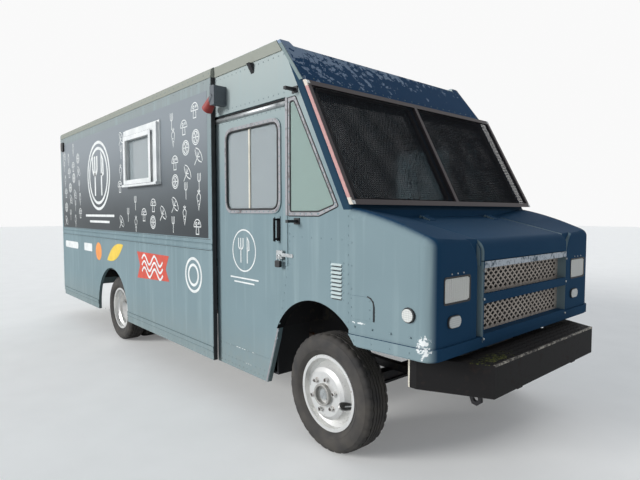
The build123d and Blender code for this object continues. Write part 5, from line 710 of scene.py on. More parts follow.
# %% Beads
def tube(name, points, radius, material, body="body", closed=True):
    """A round bead or bar along a path of places on the van."""
    curve = bpy.data.curves.new(name, "CURVE")
    curve.dimensions = "3D"
    curve.bevel_depth = radius
    curve.bevel_resolution = 2
    spline = curve.splines.new("POLY")
    spline.points.add(len(points) - 1)
    for point, where in zip(spline.points, points):
        point.co = (*where, 1.0)
    spline.use_cyclic_u = closed
    return piece(name, curve, material, body)


print("helpers ready")

# %% [markdown]
# ## Tyres
# Commercial tyres have nearly flat crowns with four grooves round them and short slots across the
# shoulders. We turn a profile about the axle and press the slots in by lowering some of its points. A bump
# in the material would look the same from afar, but only real faces survive in the exported mesh.


# %% Tyres
TYRE_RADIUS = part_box("front_tyre_right")[1].z / 2
TYRE_STEPS = 144
GROOVE = 0.009
HALF_PROFILE = [
    # radius, distance from the middle, is cut by the slots across the shoulder
    (0.3960, 0.004, 0), (0.4050, 0.004, 0), (0.4050, 0.0220, 0), (0.3960, 0.0225, 0), (0.3960, 0.0290, 0),
    (0.4050, 0.0295, 0), (0.4050, 0.0520, 0), (0.3960, 0.0525, 0), (0.3960, 0.0590, 0), (0.4045, 0.0595, 1),
    (0.4035, 0.0760, 1), (0.3990, 0.0850, 1), (0.3880, 0.0950, 1), (0.3760, 0.1010, 0), (0.3745, 0.1030, 0),
    (0.3600, 0.1075, 0), (0.3400, 0.1120, 0), (0.3200, 0.1125, 0), (0.3020, 0.1080, 0), (0.3000, 0.1090, 0),
    (0.2960, 0.1070, 0), (0.2800, 0.0970, 0), (0.2700, 0.0880, 0), (0.2650, 0.0830, 0), (0.2560, 0.0780, 0),
    (0.2480, 0.0710, 0),
]
profile = [(r, -y, cut) for r, y, cut in reversed(HALF_PROFILE)] + HALF_PROFILE


def tyre_mesh(bm, axle_x, centre_y):
    """Adds one tyre about an axle, with a shoulder slot at every fourth step and a wavy edge to its grooves."""
    rings = []
    for step in range(TYRE_STEPS):
        angle = 2 * math.pi * step / TYRE_STEPS
        slot_here = step % 4 == 0
        loop = []
        for radius, along, cut in profile:
            r = radius - (GROOVE * 0.8 if cut and slot_here else 0.0)
            zigzag = 0.0025 if (step // 2) % 2 and radius > 0.395 and abs(along) < 0.06 else 0.0
            loop.append(bm.verts.new((axle_x + r * math.cos(angle), centre_y + along + zigzag,
                                      TYRE_RADIUS + r * math.sin(angle))))
        rings.append(loop)
    for a, b in zip(rings, [*rings[1:], rings[0]]):
        band(bm, a, b)


front_y = (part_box("front_tyre_left")[0].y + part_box("front_tyre_left")[1].y) / 2
rear_low, rear_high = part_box("rear_tyres_left")
rear_axle_x = (rear_low.x + rear_high.x) / 2
tyre_half = (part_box("front_tyre_left")[1].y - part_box("front_tyre_left")[0].y) / 2
for side_name, side in SIDES:
    for node, axle_x, centres, body in (
        (f"front_tyre_{side_name}", AXLE_X, (front_y,), f"front_wheel_{side_name}"),
        (f"rear_tyres_{side_name}", rear_axle_x, (rear_low.y + tyre_half, rear_high.y - tyre_half),
         f"rear_wheels_{side_name}"),
    ):
        bm = bmesh.new()
        for centre in centres:
            tyre_mesh(bm, axle_x, side * centre)
        tyre = smooth(piece(f"treaded_{node}", bm, tyre_rubber, body))
        tyre.modifiers.new("creases", "EDGE_SPLIT").split_angle = math.radians(35)
        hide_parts(node)
print("tyres with", TYRE_STEPS, "steps")

# %% [markdown]
# ## Wheel fittings
# The disc is silver, but the hub that pokes through it is bare cast iron with a pale cap, and a valve
# stem reaches out of the hand hole. The sleeve is a frame between two circles, the cap a stack of four discs
# that shrink to a dome, and the stem a curve with a round bevel.

# %% Wheel fittings
HAND_HOLE = math.radians(-14)
for side_name, side in SIDES:
    body = f"front_wheel_{side_name}"
    surround(f"hub_sleeve_{side_name}", round_outline(AXLE_X, TYRE_RADIUS, 0.0748),
             round_outline(AXLE_X, TYRE_RADIUS, 0.0592), (front_y + 0.113, front_y + 0.1424),
             on_side(side, 0), hub_iron, body, edge=0.002)
    bm = bmesh.new()
    for layer in range(4):
        radius = 0.036 * math.cos(layer * 0.42)
        slab(bm, round_outline(AXLE_X, TYRE_RADIUS, radius), front_y + 0.105,
             front_y + 0.121 + 0.0015 * layer, on_side(side, 0))
    piece(f"hub_cap_{side_name}", bm, extruded_aluminium, body, "rim_steel")
    reach = Vector((math.cos(HAND_HOLE), 0, math.sin(HAND_HOLE)))
    foot = Vector((AXLE_X, side * (front_y + 0.01), TYRE_RADIUS)) + reach * 0.212
    tip = Vector((AXLE_X, side * (front_y + 0.085), TYRE_RADIUS)) + reach * 0.180
    tube(f"valve_stem_{side_name}", [foot, foot.lerp(tip, 0.6), tip], 0.005, extruded_aluminium, body,
         closed=False)
print("hubs and valves on both front wheels")

# %% [markdown]
# ## Windshield guard
# Each half of the guard is expanded steel mesh: one sheet, slit and stretched into fine diamonds. An image
# with holes would have no thickness. A lattice of diamond faces with the wireframe modifier gives real
# strands for little work, and it stands for the plain CAD sheet.

# %% Windshield guard
GUARD_LOW, GUARD_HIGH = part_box("guard_mesh")
DIAMOND_WIDE = 0.017
DIAMOND_TALL = 0.030
STRAND = 0.0042
bm = bmesh.new()
for _, side in SIDES:
    # each half reaches from the middle post to the guard's side
    inner, outer = 0.017, 1.126
    columns = int((outer - inner) / DIAMOND_WIDE)
    rows = int((GUARD_HIGH.z - GUARD_LOW.z) / DIAMOND_TALL)
    places = {}

    def corner(i, j):
        """Lattice point counted in half diamonds across and up."""
        if (i, j) not in places:
            y = side * (inner + i * (outer - inner) / (2 * columns))
            z = GUARD_LOW.z + j * (GUARD_HIGH.z - GUARD_LOW.z) / (2 * rows)
            places[i, j] = bm.verts.new((windshield_x(z, 0.047), y, z))
        return places[i, j]

    for j in range(1, 2 * rows):
        for i in range(1, 2 * columns):
            if (i + j) % 2 == 1:
                bm.faces.new((corner(i - 1, j), corner(i, j - 1), corner(i + 1, j), corner(i, j + 1)))
guard = piece("guard_diamond_mesh", bm, guard_wire)
strands = guard.modifiers.new("strands", "WIREFRAME")
strands.thickness = STRAND
strands.use_even_offset = False
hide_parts("guard_mesh")
print("guard diamonds", len(guard.data.polygons))
plate("guard_corner_clamps",
      [box_outline(y - 0.013, y + 0.013, z - 0.012, z + 0.012, 0.004)
       for y in (-1.145, 1.145) for z in (2.518, 1.706)],
      (-0.0005, 0.003), on_windshield(0.060), extruded_aluminium, edge=0.001)

# %% [markdown]
# ## Window seals and rings
# Panes sit in black rubber: a soft bead in the corner between glass and metal. The door's pane has a riveted
# aluminium ring round it, and a cream bar divides its two sliding halves. A curve with a round bevel makes
# each bead, since it follows the opening's outline and keeps one radius.

# %% Window seals and rings
DOOR_WINDOW = (AXLE_X - 1.225, AXLE_X - 0.500, 1.668, 2.312)
DOOR_BAR_X = AXLE_X - 0.888
DOOR_RING_PROUD = 0.0092
QUARTER = from_axle([(-0.330, 2.425), (-0.282, 2.425), (0.135, 1.694), (-0.025, 1.648), (-0.330, 1.648)])
QUARTER_FRAME = from_axle([(-0.352, 2.454), (-0.268, 2.454), (0.168, 1.682), (-0.018, 1.618), (-0.352, 1.618)])
WINDSHIELD_PANE = (0.032, 1.050, 1.725, 2.495)
for side_name, side in SIDES:
    door, door_skin, cab_skin = f"sliding_door_{side_name}", on_side(side, DOOR_HALF), on_side(side, CAB_HALF)
    tube(f"door_window_seal_{side_name}", laid(box_outline(*DOOR_WINDOW, 0.078), door_skin, 0.008), 0.008,
         seal_rubber, door)
    surround(f"door_window_ring_{side_name}", box_outline(*grown(DOOR_WINDOW, 0.033), 0.11),
             box_outline(*grown(DOOR_WINDOW, 0.004), 0.082), (0.0078, DOOR_RING_PROUD), door_skin,
             dull_aluminium, door, edge=0.0005, segments=1)
    plate(f"door_window_bar_{side_name}", [quad(DOOR_BAR_X - 0.011, DOOR_BAR_X + 0.011, *DOOR_WINDOW[2:])],
          (-0.005, 0.004), door_skin, cream_bar, door, edge=0.002)
    surround(f"quarter_frame_{side_name}", rounded(QUARTER_FRAME, 0.012), rounded(QUARTER, 0.012), (0.0, 0.004),
             cab_skin, dull_aluminium, edge=0.001)
    tube(f"quarter_gasket_{side_name}", laid(rounded(QUARTER_FRAME, 0.012), cab_skin, 0.001), 0.0045,
         seal_rubber)
    tube(f"quarter_seal_{side_name}", laid(rounded(QUARTER, 0.02), cab_skin, 0.001), 0.006, seal_rubber)
    plate(f"quarter_outer_pane_{side_name}", [rounded(QUARTER, 0.012)], (-0.004, -0.001), cab_skin, green_glass)
    pane = [(side * p.x, p.y) for p in box_outline(*WINDSHIELD_PANE, 0.045)]
    tube(f"windshield_seal_{side_name}", laid(pane, on_windshield(0.001), 0), 0.011, seal_rubber)
print("panes sealed")

# %% [markdown]
# ## Rails, trims and louvres
# A half-round aluminium rail caps each sliding door, and a bare edge follows the cut of its toe. A painted
# angle closes the front edge of the cargo wall, with a dark rubber strip on its end that is also painted shade
# for that forward face. The post in front of the door wears a bare trim beside the glass and paint below it.
# Under each louvre a dark strip is painted shade, the shade in its opening, and a gasket runs down the joint
# with the cowl. All but the rail are flat stock, so plates are the plain way to make them.

# %% Rails and trims
DOOR_REAR_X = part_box("door_right")[0].x
DOOR_FRONT_X = DOOR_POST_X - 0.006
DOOR_TOP_Z = 2.450
RAIL_RADIUS = 0.0205
WALL_FOOT_Z = 0.336
TOE_EDGE = from_axle([(-0.675, 0.322), (-0.658, 0.322), (-0.530, 0.690), (-0.452, 0.950), (-0.466, 0.950),
                      (-0.547, 0.690)])
POST_PARTS = (
    # name, from height, to height, finish
    ("door_post_trim", 1.620, 2.460, dull_aluminium),
    ("door_post_foot", 1.255, 1.619, side_paint),
)
LOUVRE_FEET = [1.086 + 0.0265 * louvre for louvre in range(9)]
LOUVRES = [box_outline(AXLE_X + 0.108, AXLE_X + 0.200, foot_z - 0.0075, foot_z - 0.0005, 0.002, 1)
           for foot_z in LOUVRE_FEET]
for side_name, side in SIDES:
    door, door_skin, cab_skin = f"sliding_door_{side_name}", on_side(side, DOOR_HALF), on_side(side, CAB_HALF)
    half_round = [(side * (DOOR_HALF + 0.0008 + RAIL_RADIUS * math.cos(a)),
                   DOOR_TOP_Z - 0.021 + RAIL_RADIUS * math.sin(a))
                  for a in [math.pi * (i / 12 - 0.5) for i in range(13)]]
    bm = bmesh.new()
    ends = [[bm.verts.new((x, y, z)) for y, z in half_round] for x in (DOOR_REAR_X, DOOR_FRONT_X)]
    band(bm, *ends, closed=False)
    for loop in ends:
        bm.faces.new(loop)
    rail = piece(f"door_top_rail_{side_name}", bm, extruded_aluminium, door)
    for polygon in rail.data.polygons:
        polygon.use_smooth = len(polygon.vertices) == 4
    plate(f"door_toe_edge_{side_name}", [TOE_EDGE], (0.0, 0.003), door_skin, dull_aluminium, door, edge=0.001)
    plate(f"wall_front_angle_{side_name}", [quad(SPLIT_X - 0.030, SPLIT_X, WALL_FOOT_Z, WALL_TOP_Z)],
          (0.0, 0.0025), on_side(side, BODY_HALF), side_paint, edge=0.001)
    # The dark strip on the wall's front end is a rubber seal and painted shade for that forward face.
    across = sorted((side * 1.131, side * 1.1665))
    plate(f"wall_end_seal_and_shade_{side_name}", [quad(*across, WALL_FOOT_Z, WALL_TOP_Z)], (0.0, 0.004),
          facing_front(SPLIT_X), seal_rubber, edge=0.001)
    for name, low, high, finish in POST_PARTS:
        plate(f"{name}_{side_name}", [quad(DOOR_POST_X + 0.002, DOOR_POST_X + 0.028, low, high)], (0.0, 0.006),
              cab_skin, finish, edge=0.0045, segments=3)
    # Painted shade: a dark strip under each louvre, for the shade in its opening.
    plate(f"louvre_shade_strips_{side_name}", LOUVRES, (0.0, 0.0006), cab_skin, seal_rubber)
    tube(f"cowl_gasket_{side_name}",
         [(COWL_X - 0.004, side * (CAB_HALF + 0.001), z) for z in (1.08, 1.35, 1.63)], 0.005, seal_rubber,
         closed=False)
print("door rails, wall angles, seals, louvres and gaskets on both sides")

# %% [markdown]
# ## Film, motifs and badges
# The cargo wall is wrapped in dark film with white line drawings of food and tools. These are our own plain
# drawings: each is a few strokes, and each stroke is a thin ribbon just proud of the film. An image could
# carry them, but ribbons stay sharp at any distance and need no file.

# %% Film on the cargo wall
FILM = (AXLE_X - 6.190, AXLE_X - 1.457, 1.414, 2.700)
FILM_THICK = 0.0012
window_low, window_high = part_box("serving_window_frame")
hole = grown((window_low.x, window_high.x, window_low.z, window_high.z), -0.004)
surround("wall_film_right", box_outline(*FILM, 0.002, 1), box_outline(*hole, 0.002, 1), (0.0, FILM_THICK),
         on_side(-1, BODY_HALF), wrap_film)
plate("wall_film_left", [box_outline(*FILM, 0.002, 1)], (0.0, FILM_THICK), on_side(1, BODY_HALF), wrap_film)
pane_low, pane_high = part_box("serving_window_pane")
sash_inner = box_outline(*grown((pane_low.x, pane_high.x, pane_low.z, pane_high.z), -0.004), 0.004, 2)
sash_outer = box_outline(pane_low.x - 0.050, pane_high.x + 0.050, pane_low.z - 0.045, pane_high.z + 0.045,
                         0.004, 2)
sash_y = max(abs(window_low.y), abs(window_high.y))
surround("serving_window_sash", sash_outer, sash_inner, (-0.001, 0.0035), on_side(-1, sash_y), white_frame,
         edge=0.001)
tube("serving_window_gasket", laid(sash_outer, on_side(-1, sash_y), 0.0), 0.0022, seal_rubber)
print("film on both walls, sash at y", -sash_y)


# %% Strokes
def arc(cx, cy, radius, start, end, steps=14):
    """Points on an arc, in degrees."""
    angles = [math.radians(start + (end - start) * i / steps) for i in range(steps + 1)]
    return [(cx + radius * math.cos(a), cy + radius * math.sin(a)) for a in angles]


LEAF = [arc(-0.35, -0.5, 1.0, 5, 85), arc(0.65, 0.5, 1.0, 185, 265), [(-0.45, -0.62), (0.32, 0.30)],
        [(-0.05, -0.12), (0.30, -0.12)], [(-0.05, -0.12), (-0.08, 0.24)]]
MUSHROOM = [arc(0, 0.0, 0.5, 0, 180), [(-0.5, 0), (0.5, 0)], [(-0.16, 0), (-0.2, -0.5), (0.2, -0.5), (0.16, 0)],
            arc(-0.15, 0.2, 0.1, 0, 360), arc(0.2, 0.25, 0.07, 0, 360)]
FORK = [[(0, -0.6), (0, 0.05)], arc(0, 0.25, 0.2, 180, 360), [(-0.2, 0.25), (-0.2, 0.6)], [(0, 0.05), (0, 0.6)],
        [(0.2, 0.25), (0.2, 0.6)]]
CITRUS = [arc(0, 0, 0.5, 0, 360, 24), arc(0, 0, 0.38, 0, 360, 24), [(0, 0), (0.36, 0)], [(0, 0), (-0.18, 0.31)],
          [(0, 0), (-0.18, -0.31)], [(0, 0), (0.18, 0.31)], [(0, 0), (0.18, -0.31)], [(0, 0), (-0.36, 0)]]
CARROT = [[(-0.25, 0.25), (0, -0.6), (0.25, 0.25)], arc(0, 0.25, 0.25, 0, 180), [(0, 0.5), (-0.18, 0.72)],
          [(0, 0.5), (0.02, 0.78)], [(0, 0.5), (0.2, 0.7)], [(-0.12, 0.0), (0.02, 0.02)],
          [(0.1, -0.2), (-0.02, -0.22)]]
KNIFE = [[(0, -0.6), (0, 0.0), (0.16, 0.05), (0.14, 0.45), (0, 0.62), (0, 0.0)]]
MOTIFS = (LEAF, MUSHROOM, FORK, CITRUS, CARROT)
print(len(MOTIFS), "motifs to choose from")


def ribbon(bm, points, width, depth, to_van):
    """Adds a flat ribbon along a stroke, mitred at its corners."""
    closed = (Vector(points[0]) - Vector(points[-1])).length < 1e-6
    line = [Vector(p) for p in (points[:-1] if closed else points)]
    rims = []
    for i, here in enumerate(line):
        before = line[i - 1] if i or closed else here
        after = line[(i + 1) % len(line)] if i + 1 < len(line) or closed else here
        back, on = (here - before), (after - here)
        back = back.normalized() if back.length > 1e-9 else on.normalized()
        on = on.normalized() if on.length > 1e-9 else back
        along = (back + on).normalized()
        across = Vector((-along.y, along.x)) / max(0.5, along.dot(on))
        rims.append([bm.verts.new(to_van(*(here + across * width * s / 2), depth)) for s in (-1, 1)])
    pairs = list(zip(rims, rims[1:])) + ([(rims[-1], rims[0])] if closed else [])
    for a, b in pairs:
        bm.faces.new((a[0], a[1], b[1], b[0]))


# %% Ribbons
PRINT_PROUD = 0.0018


def drawing(bm, strokes, x, z, size, width, to_van, depth=PRINT_PROUD):
    """Adds a drawing about a place, each of its strokes as a ribbon."""
    for stroke in strokes:
        ribbon(bm, [(x + px * size, z + pz * size) for px, pz in stroke], width, depth, to_van)


# %% Motifs
MOTIF_SIZE = 0.135
EMBLEM = (AXLE_X - 4.42, 2.13)
for side_name, side in SIDES:
    bm = bmesh.new()
    place = on_side(side, BODY_HALF)
    count = 0
    for column in range(19):
        for row in range(6):
            x = FILM[0] + 0.17 + column * 0.243 + 0.035 * math.sin(12.9 * column + 7.3 * row)
            z = FILM[2] + 0.11 + row * 0.205 + (0.10 if column % 2 else 0.0)
            z += 0.020 * math.sin(5.1 * column + 9.7 * row)
            near_emblem = abs(x - EMBLEM[0]) < 0.80
            on_window = side_name == "right" and hole[0] - 0.10 < x < hole[1] + 0.10 and \
                hole[2] - 0.13 < z < hole[3] + 0.13
            if near_emblem or on_window or z > FILM[3] - 0.09:
                continue
            drawing(bm, MOTIFS[(column * 2 + row * 3) % len(MOTIFS)], x, z, MOTIF_SIZE, 0.009, place)
            count += 1
    drawing(bm, [arc(0, 0, 0.5, 0, 360, 48), arc(0, 0, 0.41, 0, 360, 48)], *EMBLEM, 0.88, 0.038, place)
    drawing(bm, FORK, EMBLEM[0] - 0.13, EMBLEM[1], 0.44, 0.048, place)
    drawing(bm, KNIFE, EMBLEM[0] + 0.13, EMBLEM[1], 0.44, 0.048, place)
    for low, reach in ((1.60, 0.58), (1.52, 0.40)):
        ribbon(bm, [(EMBLEM[0] - reach, low), (EMBLEM[0] + reach, low)], 0.030, PRINT_PROUD, place)
    piece(f"wall_motifs_{side_name}", bm, white_print)
    print(side_name, "wall has", count, "motifs")

# %% [markdown]
# ## Badges
# Plain bars, a disc, a leaf and a banner run along the side under the belt, and the door wears a small white
# emblem. They are cut from coloured vinyl, so each is an outline with the film's thickness.

# %% Badges
RING_CENTRE = (0.95, 1.06)
WAVE = [(0.05 * i, 0.05 * math.sin(0.63 * i)) for i in range(21)]
DOOR_EMBLEM = (AXLE_X - 0.98, 1.33)
DOOR_PRINT = (0.012, FILM_THICK)


def leaf_outline(start, end, swell, steps=14):
    """A pointed oval between two tips."""
    start, end = Vector(start), Vector(end)
    across = Vector((start.y - end.y, end.x - start.x)).normalized()
    return [a.lerp(b, i / steps) + across * side * swell * 4 * (i / steps) * (1 - i / steps)
            for a, b, side in ((start, end, 1), (end, start, -1)) for i in range(steps)]


BADGES = (
    # name, finish, outline
    ("white_bar", white_print, box_outline(-3.40, -2.72, 1.10, 1.20, 0.05)),
    ("white_block", white_print, box_outline(-2.42, -2.06, 1.10, 1.21, 0.02)),
    ("orange_disc", orange_print, round_outline(-1.78, 1.12, 0.12)),
    ("yellow_leaf", yellow_print, leaf_outline((-1.44, 1.03), (-0.86, 1.25), 0.085)),
    ("red_banner", red_print,
     [(-0.42, 0.90), (0.42, 0.94), (0.34, 1.06), (0.42, 1.20), (-0.42, 1.20), (-0.34, 1.05)]),
)
for side_name, side in SIDES:
    place, door_place = on_side(side, BODY_HALF), on_side(side, DOOR_HALF)
    for name, finish, outline in BADGES:
        plate(f"{name}_{side_name}", [outline], (0.0, FILM_THICK), place, finish)
    bm = bmesh.new()
    for radius in (0.155, 0.095):
        ribbon(bm, arc(*RING_CENTRE, radius, 0, 360, 36), 0.026, FILM_THICK, place)
    for low in (0.985, 1.055, 1.125):
        ribbon(bm, [(-0.28 + 0.55 * u, low + v) for u, v in WAVE], 0.024, 0.0020, place)
    piece(f"white_rings_and_waves_{side_name}", bm, white_print)
    # Painted shadow: two thin dark strips under the belt's mouldings.
    plate(f"belt_shadow_line_{side_name}",
          [quad(BODY_REAR_X + 0.002, SPLIT_X - 0.031, z, z + 0.003) for z in (1.3045, 1.402)],
          (0.0, 0.0007), place, seal_rubber)
    bm = bmesh.new()
    drawing(bm, [arc(0, 0, 0.5, 0, 360, 40)], *DOOR_EMBLEM, 0.34, DOOR_PRINT[0], door_place, DOOR_PRINT[1])
    for strokes, aside in ((FORK, -0.045), (KNIFE, 0.05)):
        drawing(bm, strokes, DOOR_EMBLEM[0] + aside, DOOR_EMBLEM[1], 0.17, DOOR_PRINT[0], door_place,
                DOOR_PRINT[1])
    for low, reach in ((1.10, 0.21), (1.065, 0.15)):
        ribbon(bm, [(DOOR_EMBLEM[0] - reach, low), (DOOR_EMBLEM[0] + reach, low)], *DOOR_PRINT, door_place)
    piece(f"door_emblem_{side_name}", bm, white_print, f"sliding_door_{side_name}")
print("badges on both walls")

# %% [markdown]
# ## Rivets
# Thousands of blind rivets hold such a body together, and their rows are what the eye reads as "step van".
# Each row is a start, an end and a pitch. Single objects would crowd the scene, so all the domes on one body
# are stamped into one mesh.


# %% Rivets
RIVET_RADIUS = 0.0062
RIVET_HIGH = 0.0026
rivets = {}


def rivet_row(body, start, end, pitch, normal):
    """Remembers a row of rivets from start to end."""
    start, end, normal = Vector(start), Vector(end), Vector(normal).normalized()
    count = max(1, round((end - start).length / pitch))
    rivets.setdefault(body, []).extend((start.lerp(end, i / count), normal) for i in range(count + 1))


def side_rows(body, y, rows):
    """Rows on an upright side, each with the x and z of its start and its end, and its pitch."""
    for start_x, start_z, end_x, end_z, pitch in rows:
        rivet_row(body, (start_x, y, start_z), (end_x, y, end_z), pitch, (0, math.copysign(1, y), 0))


def nose_y(x):
    """Half width of the nose's side at a station."""
    return 1.145 - (x - COWL_X) * (1.145 - 1.085) / (FACE_X - COWL_X)


# %% Rows on the sides
for side_name, side in SIDES:
    door = f"sliding_door_{side_name}"
    wall, cab, leaf = side * BODY_HALF, side * CAB_HALF, side * DOOR_HALF
    rear_x, front_x = BODY_REAR_X + 0.04, SPLIT_X - 0.015
    side_rows("body", wall + side * 0.0002, [(rear_x, 2.838, SPLIT_X - 0.03, 2.838, 0.10)])
    side_rows("body", wall, [
        (rear_x, 0.375, front_x, 0.375, 0.16), (rear_x, 1.290, front_x, 1.290, 0.12),
        (rear_x, 1.388, front_x, 1.388, 0.12), (rear_x, 2.775, front_x, 2.775, 0.12),
        (rear_x, 0.50, rear_x, 2.74, 0.085)])
    side_rows("body", wall + side * 0.0025, [(front_x, 0.50, front_x, 2.74, 0.085)])
    side_rows("body", cab, [
        (SPLIT_X + 0.03, 2.500, AXLE_X - 0.40, 2.500, 0.065),
        (SPLIT_X + 0.03, 2.770, AXLE_X - 0.40, 2.770, 0.065),
        (DOOR_POST_X + 0.045, 1.27, DOOR_POST_X + 0.045, 1.60, 0.06),
        (DOOR_POST_X + 0.02, 1.23, AXLE_X - 0.49, 0.70, 0.06)])
    side_rows("body", cab + side * 0.004, [
        (AXLE_X - 0.335, 1.633, AXLE_X - 0.03, 1.633, 0.060),
        (AXLE_X - 0.02, 1.634, AXLE_X + 0.145, 1.687, 0.055),
        (AXLE_X - 0.341, 1.70, AXLE_X - 0.341, 2.42, 0.090),
        (AXLE_X - 0.270, 2.43, AXLE_X + 0.140, 1.705, 0.075)])
    side_rows("body", cab, [
        (AXLE_X + 0.258, 0.95, AXLE_X + 0.258, 1.62, 0.062),
        (AXLE_X - 0.30, 1.47, AXLE_X + 0.20, 1.47, 0.11),
        (AXLE_X + 0.092, 1.085, AXLE_X + 0.092, 1.32, 0.047),
        (AXLE_X + 0.216, 1.085, AXLE_X + 0.216, 1.32, 0.047)])
    nose_normal = (0.1, side, 0)
    for z, proud in ((0.850, 0.013), (0.937, 0.006)):
        ends = [(x, side * (nose_y(x) + proud), z) for x in (COWL_X + 0.05, FACE_X - 0.14)]
        rivet_row("body", *ends, 0.15, nose_normal)
    for x in (COWL_X + 0.022, COWL_X + 0.165):
        y = side * (nose_y(x) + 0.003)
        rivet_row("body", (x, y, 1.00), (x, y, 1.11), 0.055, nose_normal)
    y = side * nose_y(COWL_X + 0.02)
    rivet_row("body", (COWL_X + 0.022, y, 1.17), (COWL_X + 0.022, y, 1.60), 0.17, nose_normal)
    side_rows(door, leaf, [
        (SPLIT_X + 0.03, 0.350, AXLE_X - 0.66, 0.350, 0.06),
        (SPLIT_X + 0.03, 0.397, AXLE_X - 0.64, 0.397, 0.06),
        (SPLIT_X + 0.03, 0.505, AXLE_X - 0.61, 0.505, 0.04),
        (SPLIT_X + 0.03, 2.398, AXLE_X - 0.42, 2.398, 0.06)])
    left, right, low, high = DOOR_WINDOW
    side_rows(door, leaf + side * DOOR_RING_PROUD,
              [(left + 0.06, z, right - 0.06, z, 0.062) for z in (low - 0.018, high + 0.018)]
              + [(x, low + 0.06, x, high - 0.06, 0.062) for x in (left - 0.018, right + 0.018)])
    for y in (0.83, 1.13):
        rivet_row("body", (BODY_REAR_X - 0.040, side * y, 0.50), (BODY_REAR_X - 0.040, side * y, 2.60), 0.09,
                  (-1, 0, 0))

# %% Rows on the cap, and the domes
CAP_SLOPE = 235 / 300
DOME_SIDES = 8
for z in (2.580, 2.838):
    cap_x = VISOR.x - (z - VISOR.y) * CAP_SLOPE
    rivet_row("body", (cap_x, -1.10, z), (cap_x, 1.10, z), 0.09, (1, 0, CAP_SLOPE))
DOME = ((RIVET_RADIUS, -0.0006), (RIVET_RADIUS * 0.86, RIVET_HIGH * 0.6), (RIVET_RADIUS * 0.45, RIVET_HIGH))
for body, places in rivets.items():
    bm = bmesh.new()
    for where, normal in places:
        turn = normal.to_track_quat("Z", "Y")
        loops = [[bm.verts.new(where + turn @ Vector((*p, high)))
                  for p in round_outline(0, 0, radius, DOME_SIDES)] for radius, high in DOME]
        for a, b in zip(loops, loops[1:]):
            band(bm, a, b)
        bm.faces.new(loops[-1])
    smooth(piece(f"rivets_on_{body}", bm, side_paint, body))
    print(body, "has", len(places), "rivets")

# %% [markdown]
# ## Door hardware
# The right door was given a hasp and a padlock: a folded steel plate that folds over a staple, and a black
# lock that hangs from it. They ride on the door, just clear of the cab side, so that it still slides.

# %% Door hardware
HASP_FACE = 1.1315
SHACKLE_Y = -1.147
right_door = "sliding_door_right"
bm = bmesh.new()
hasp_place = on_side(-1, 0)
slab(bm, box_outline(AXLE_X - 0.491, AXLE_X - 0.300, 1.318, 1.345, 0.006), HASP_FACE, 1.1345, hasp_place)
slab(bm, box_outline(AXLE_X - 0.500, AXLE_X - 0.425, 1.300, 1.362, 0.006), DOOR_HALF, HASP_FACE, hasp_place)
soften(piece("door_hasp", bm, extruded_aluminium, right_door), 0.0012)
plate("padlock_body", [box_outline(AXLE_X - 0.482, AXLE_X - 0.424, 1.240, 1.290, 0.010)], (1.136, 1.160),
      hasp_place, black_plastic, right_door, edge=0.004, segments=3)
shackle = [(AXLE_X - 0.453 + 0.017 * math.cos(a), SHACKLE_Y, 1.312 + 0.020 * math.sin(a))
           for a in [math.pi * i / 10 for i in range(11)]]
shackle = [(shackle[0][0], SHACKLE_Y, 1.285), *shackle, (shackle[-1][0], SHACKLE_Y, 1.285)]
tube("padlock_shackle", shackle, 0.004, extruded_aluminium, right_door, closed=False)
print("hasp and padlock on the right door")

# %% [markdown]
# ## Nose details
# A black sheet just behind the grille is painted shade: it closes the opening, so that no daylight shows
# through the mesh and the space behind reads dark. A chipped silver strip runs over the grille, hex bolts hold
# the surround, and a riveted plate with a round corner sits on the right side, near a scrape in the paint.

# %% Nose details
grille_low, grille_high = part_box("grille")
grille_box = (grille_low.y, grille_high.y, grille_low.z, grille_high.z)
# Painted shade: a black sheet just behind the grille, for the dark space behind the mesh.
plate("grille_shade_sheet", [box_outline(*grown(grille_box, -0.002), 0.004)], (-0.014, -0.012),
      facing_front(grille_low.x), black_plastic)
plate("grille_top_strip", [box_outline(grille_low.y, grille_high.y, 1.305, 1.346, 0.002, 2)], (0.0, 0.003),
      facing_front(HOOD_FRONT_X), chipped_silver, edge=0.001)
plate("grille_bolts", [round_outline(y, z, 0.008, 6) for y in (-0.592, 0.592) for z in (1.290, 1.116, 0.872)],
      (-0.003, 0.006), facing_front(HOOD_FRONT_X), extruded_aluminium, edge=0.001)


def on_nose_side(u, v, depth):
    """Flat drawings in x and z on the right side of the nose, which tapers forward."""
    return (u, -(nose_y(u) + depth), v)


patch_corner = [(AXLE_X + 0.420 + 0.05 * math.sin(a), 1.080 + 0.05 * math.cos(a))
                for a in [math.pi / 2 * (1 - i / 6) for i in range(7)]]
patch = [*from_axle([(0.290, 0.985), (0.470, 0.985)]), *patch_corner, *from_axle([(0.290, 1.130)])]
plate("nose_patch_plate", [patch], (-0.001, 0.003), on_nose_side, nose_paint, edge=0.0008)
gap_line = from_axle([(0.476, 0.985), (0.476, 1.075), (0.468, 1.105), (0.450, 1.124), (0.425, 1.133)])
tube("nose_patch_gap", laid(gap_line, on_nose_side, 0.0), 0.0045, seal_rubber, closed=False)
print("screen, strip, bolts and patch on the nose")

# %% [markdown]
# ## Headlamps
# A rectangular sealed lamp: a black bezel round a fluted lens, with the bright bowl of the reflector behind.
# The lens is a row of upright bars, every second one a little prouder, because flutes drawn only in the
# material would not bend the light at their edges. The lamp stands for the plain CAD block in its pocket.

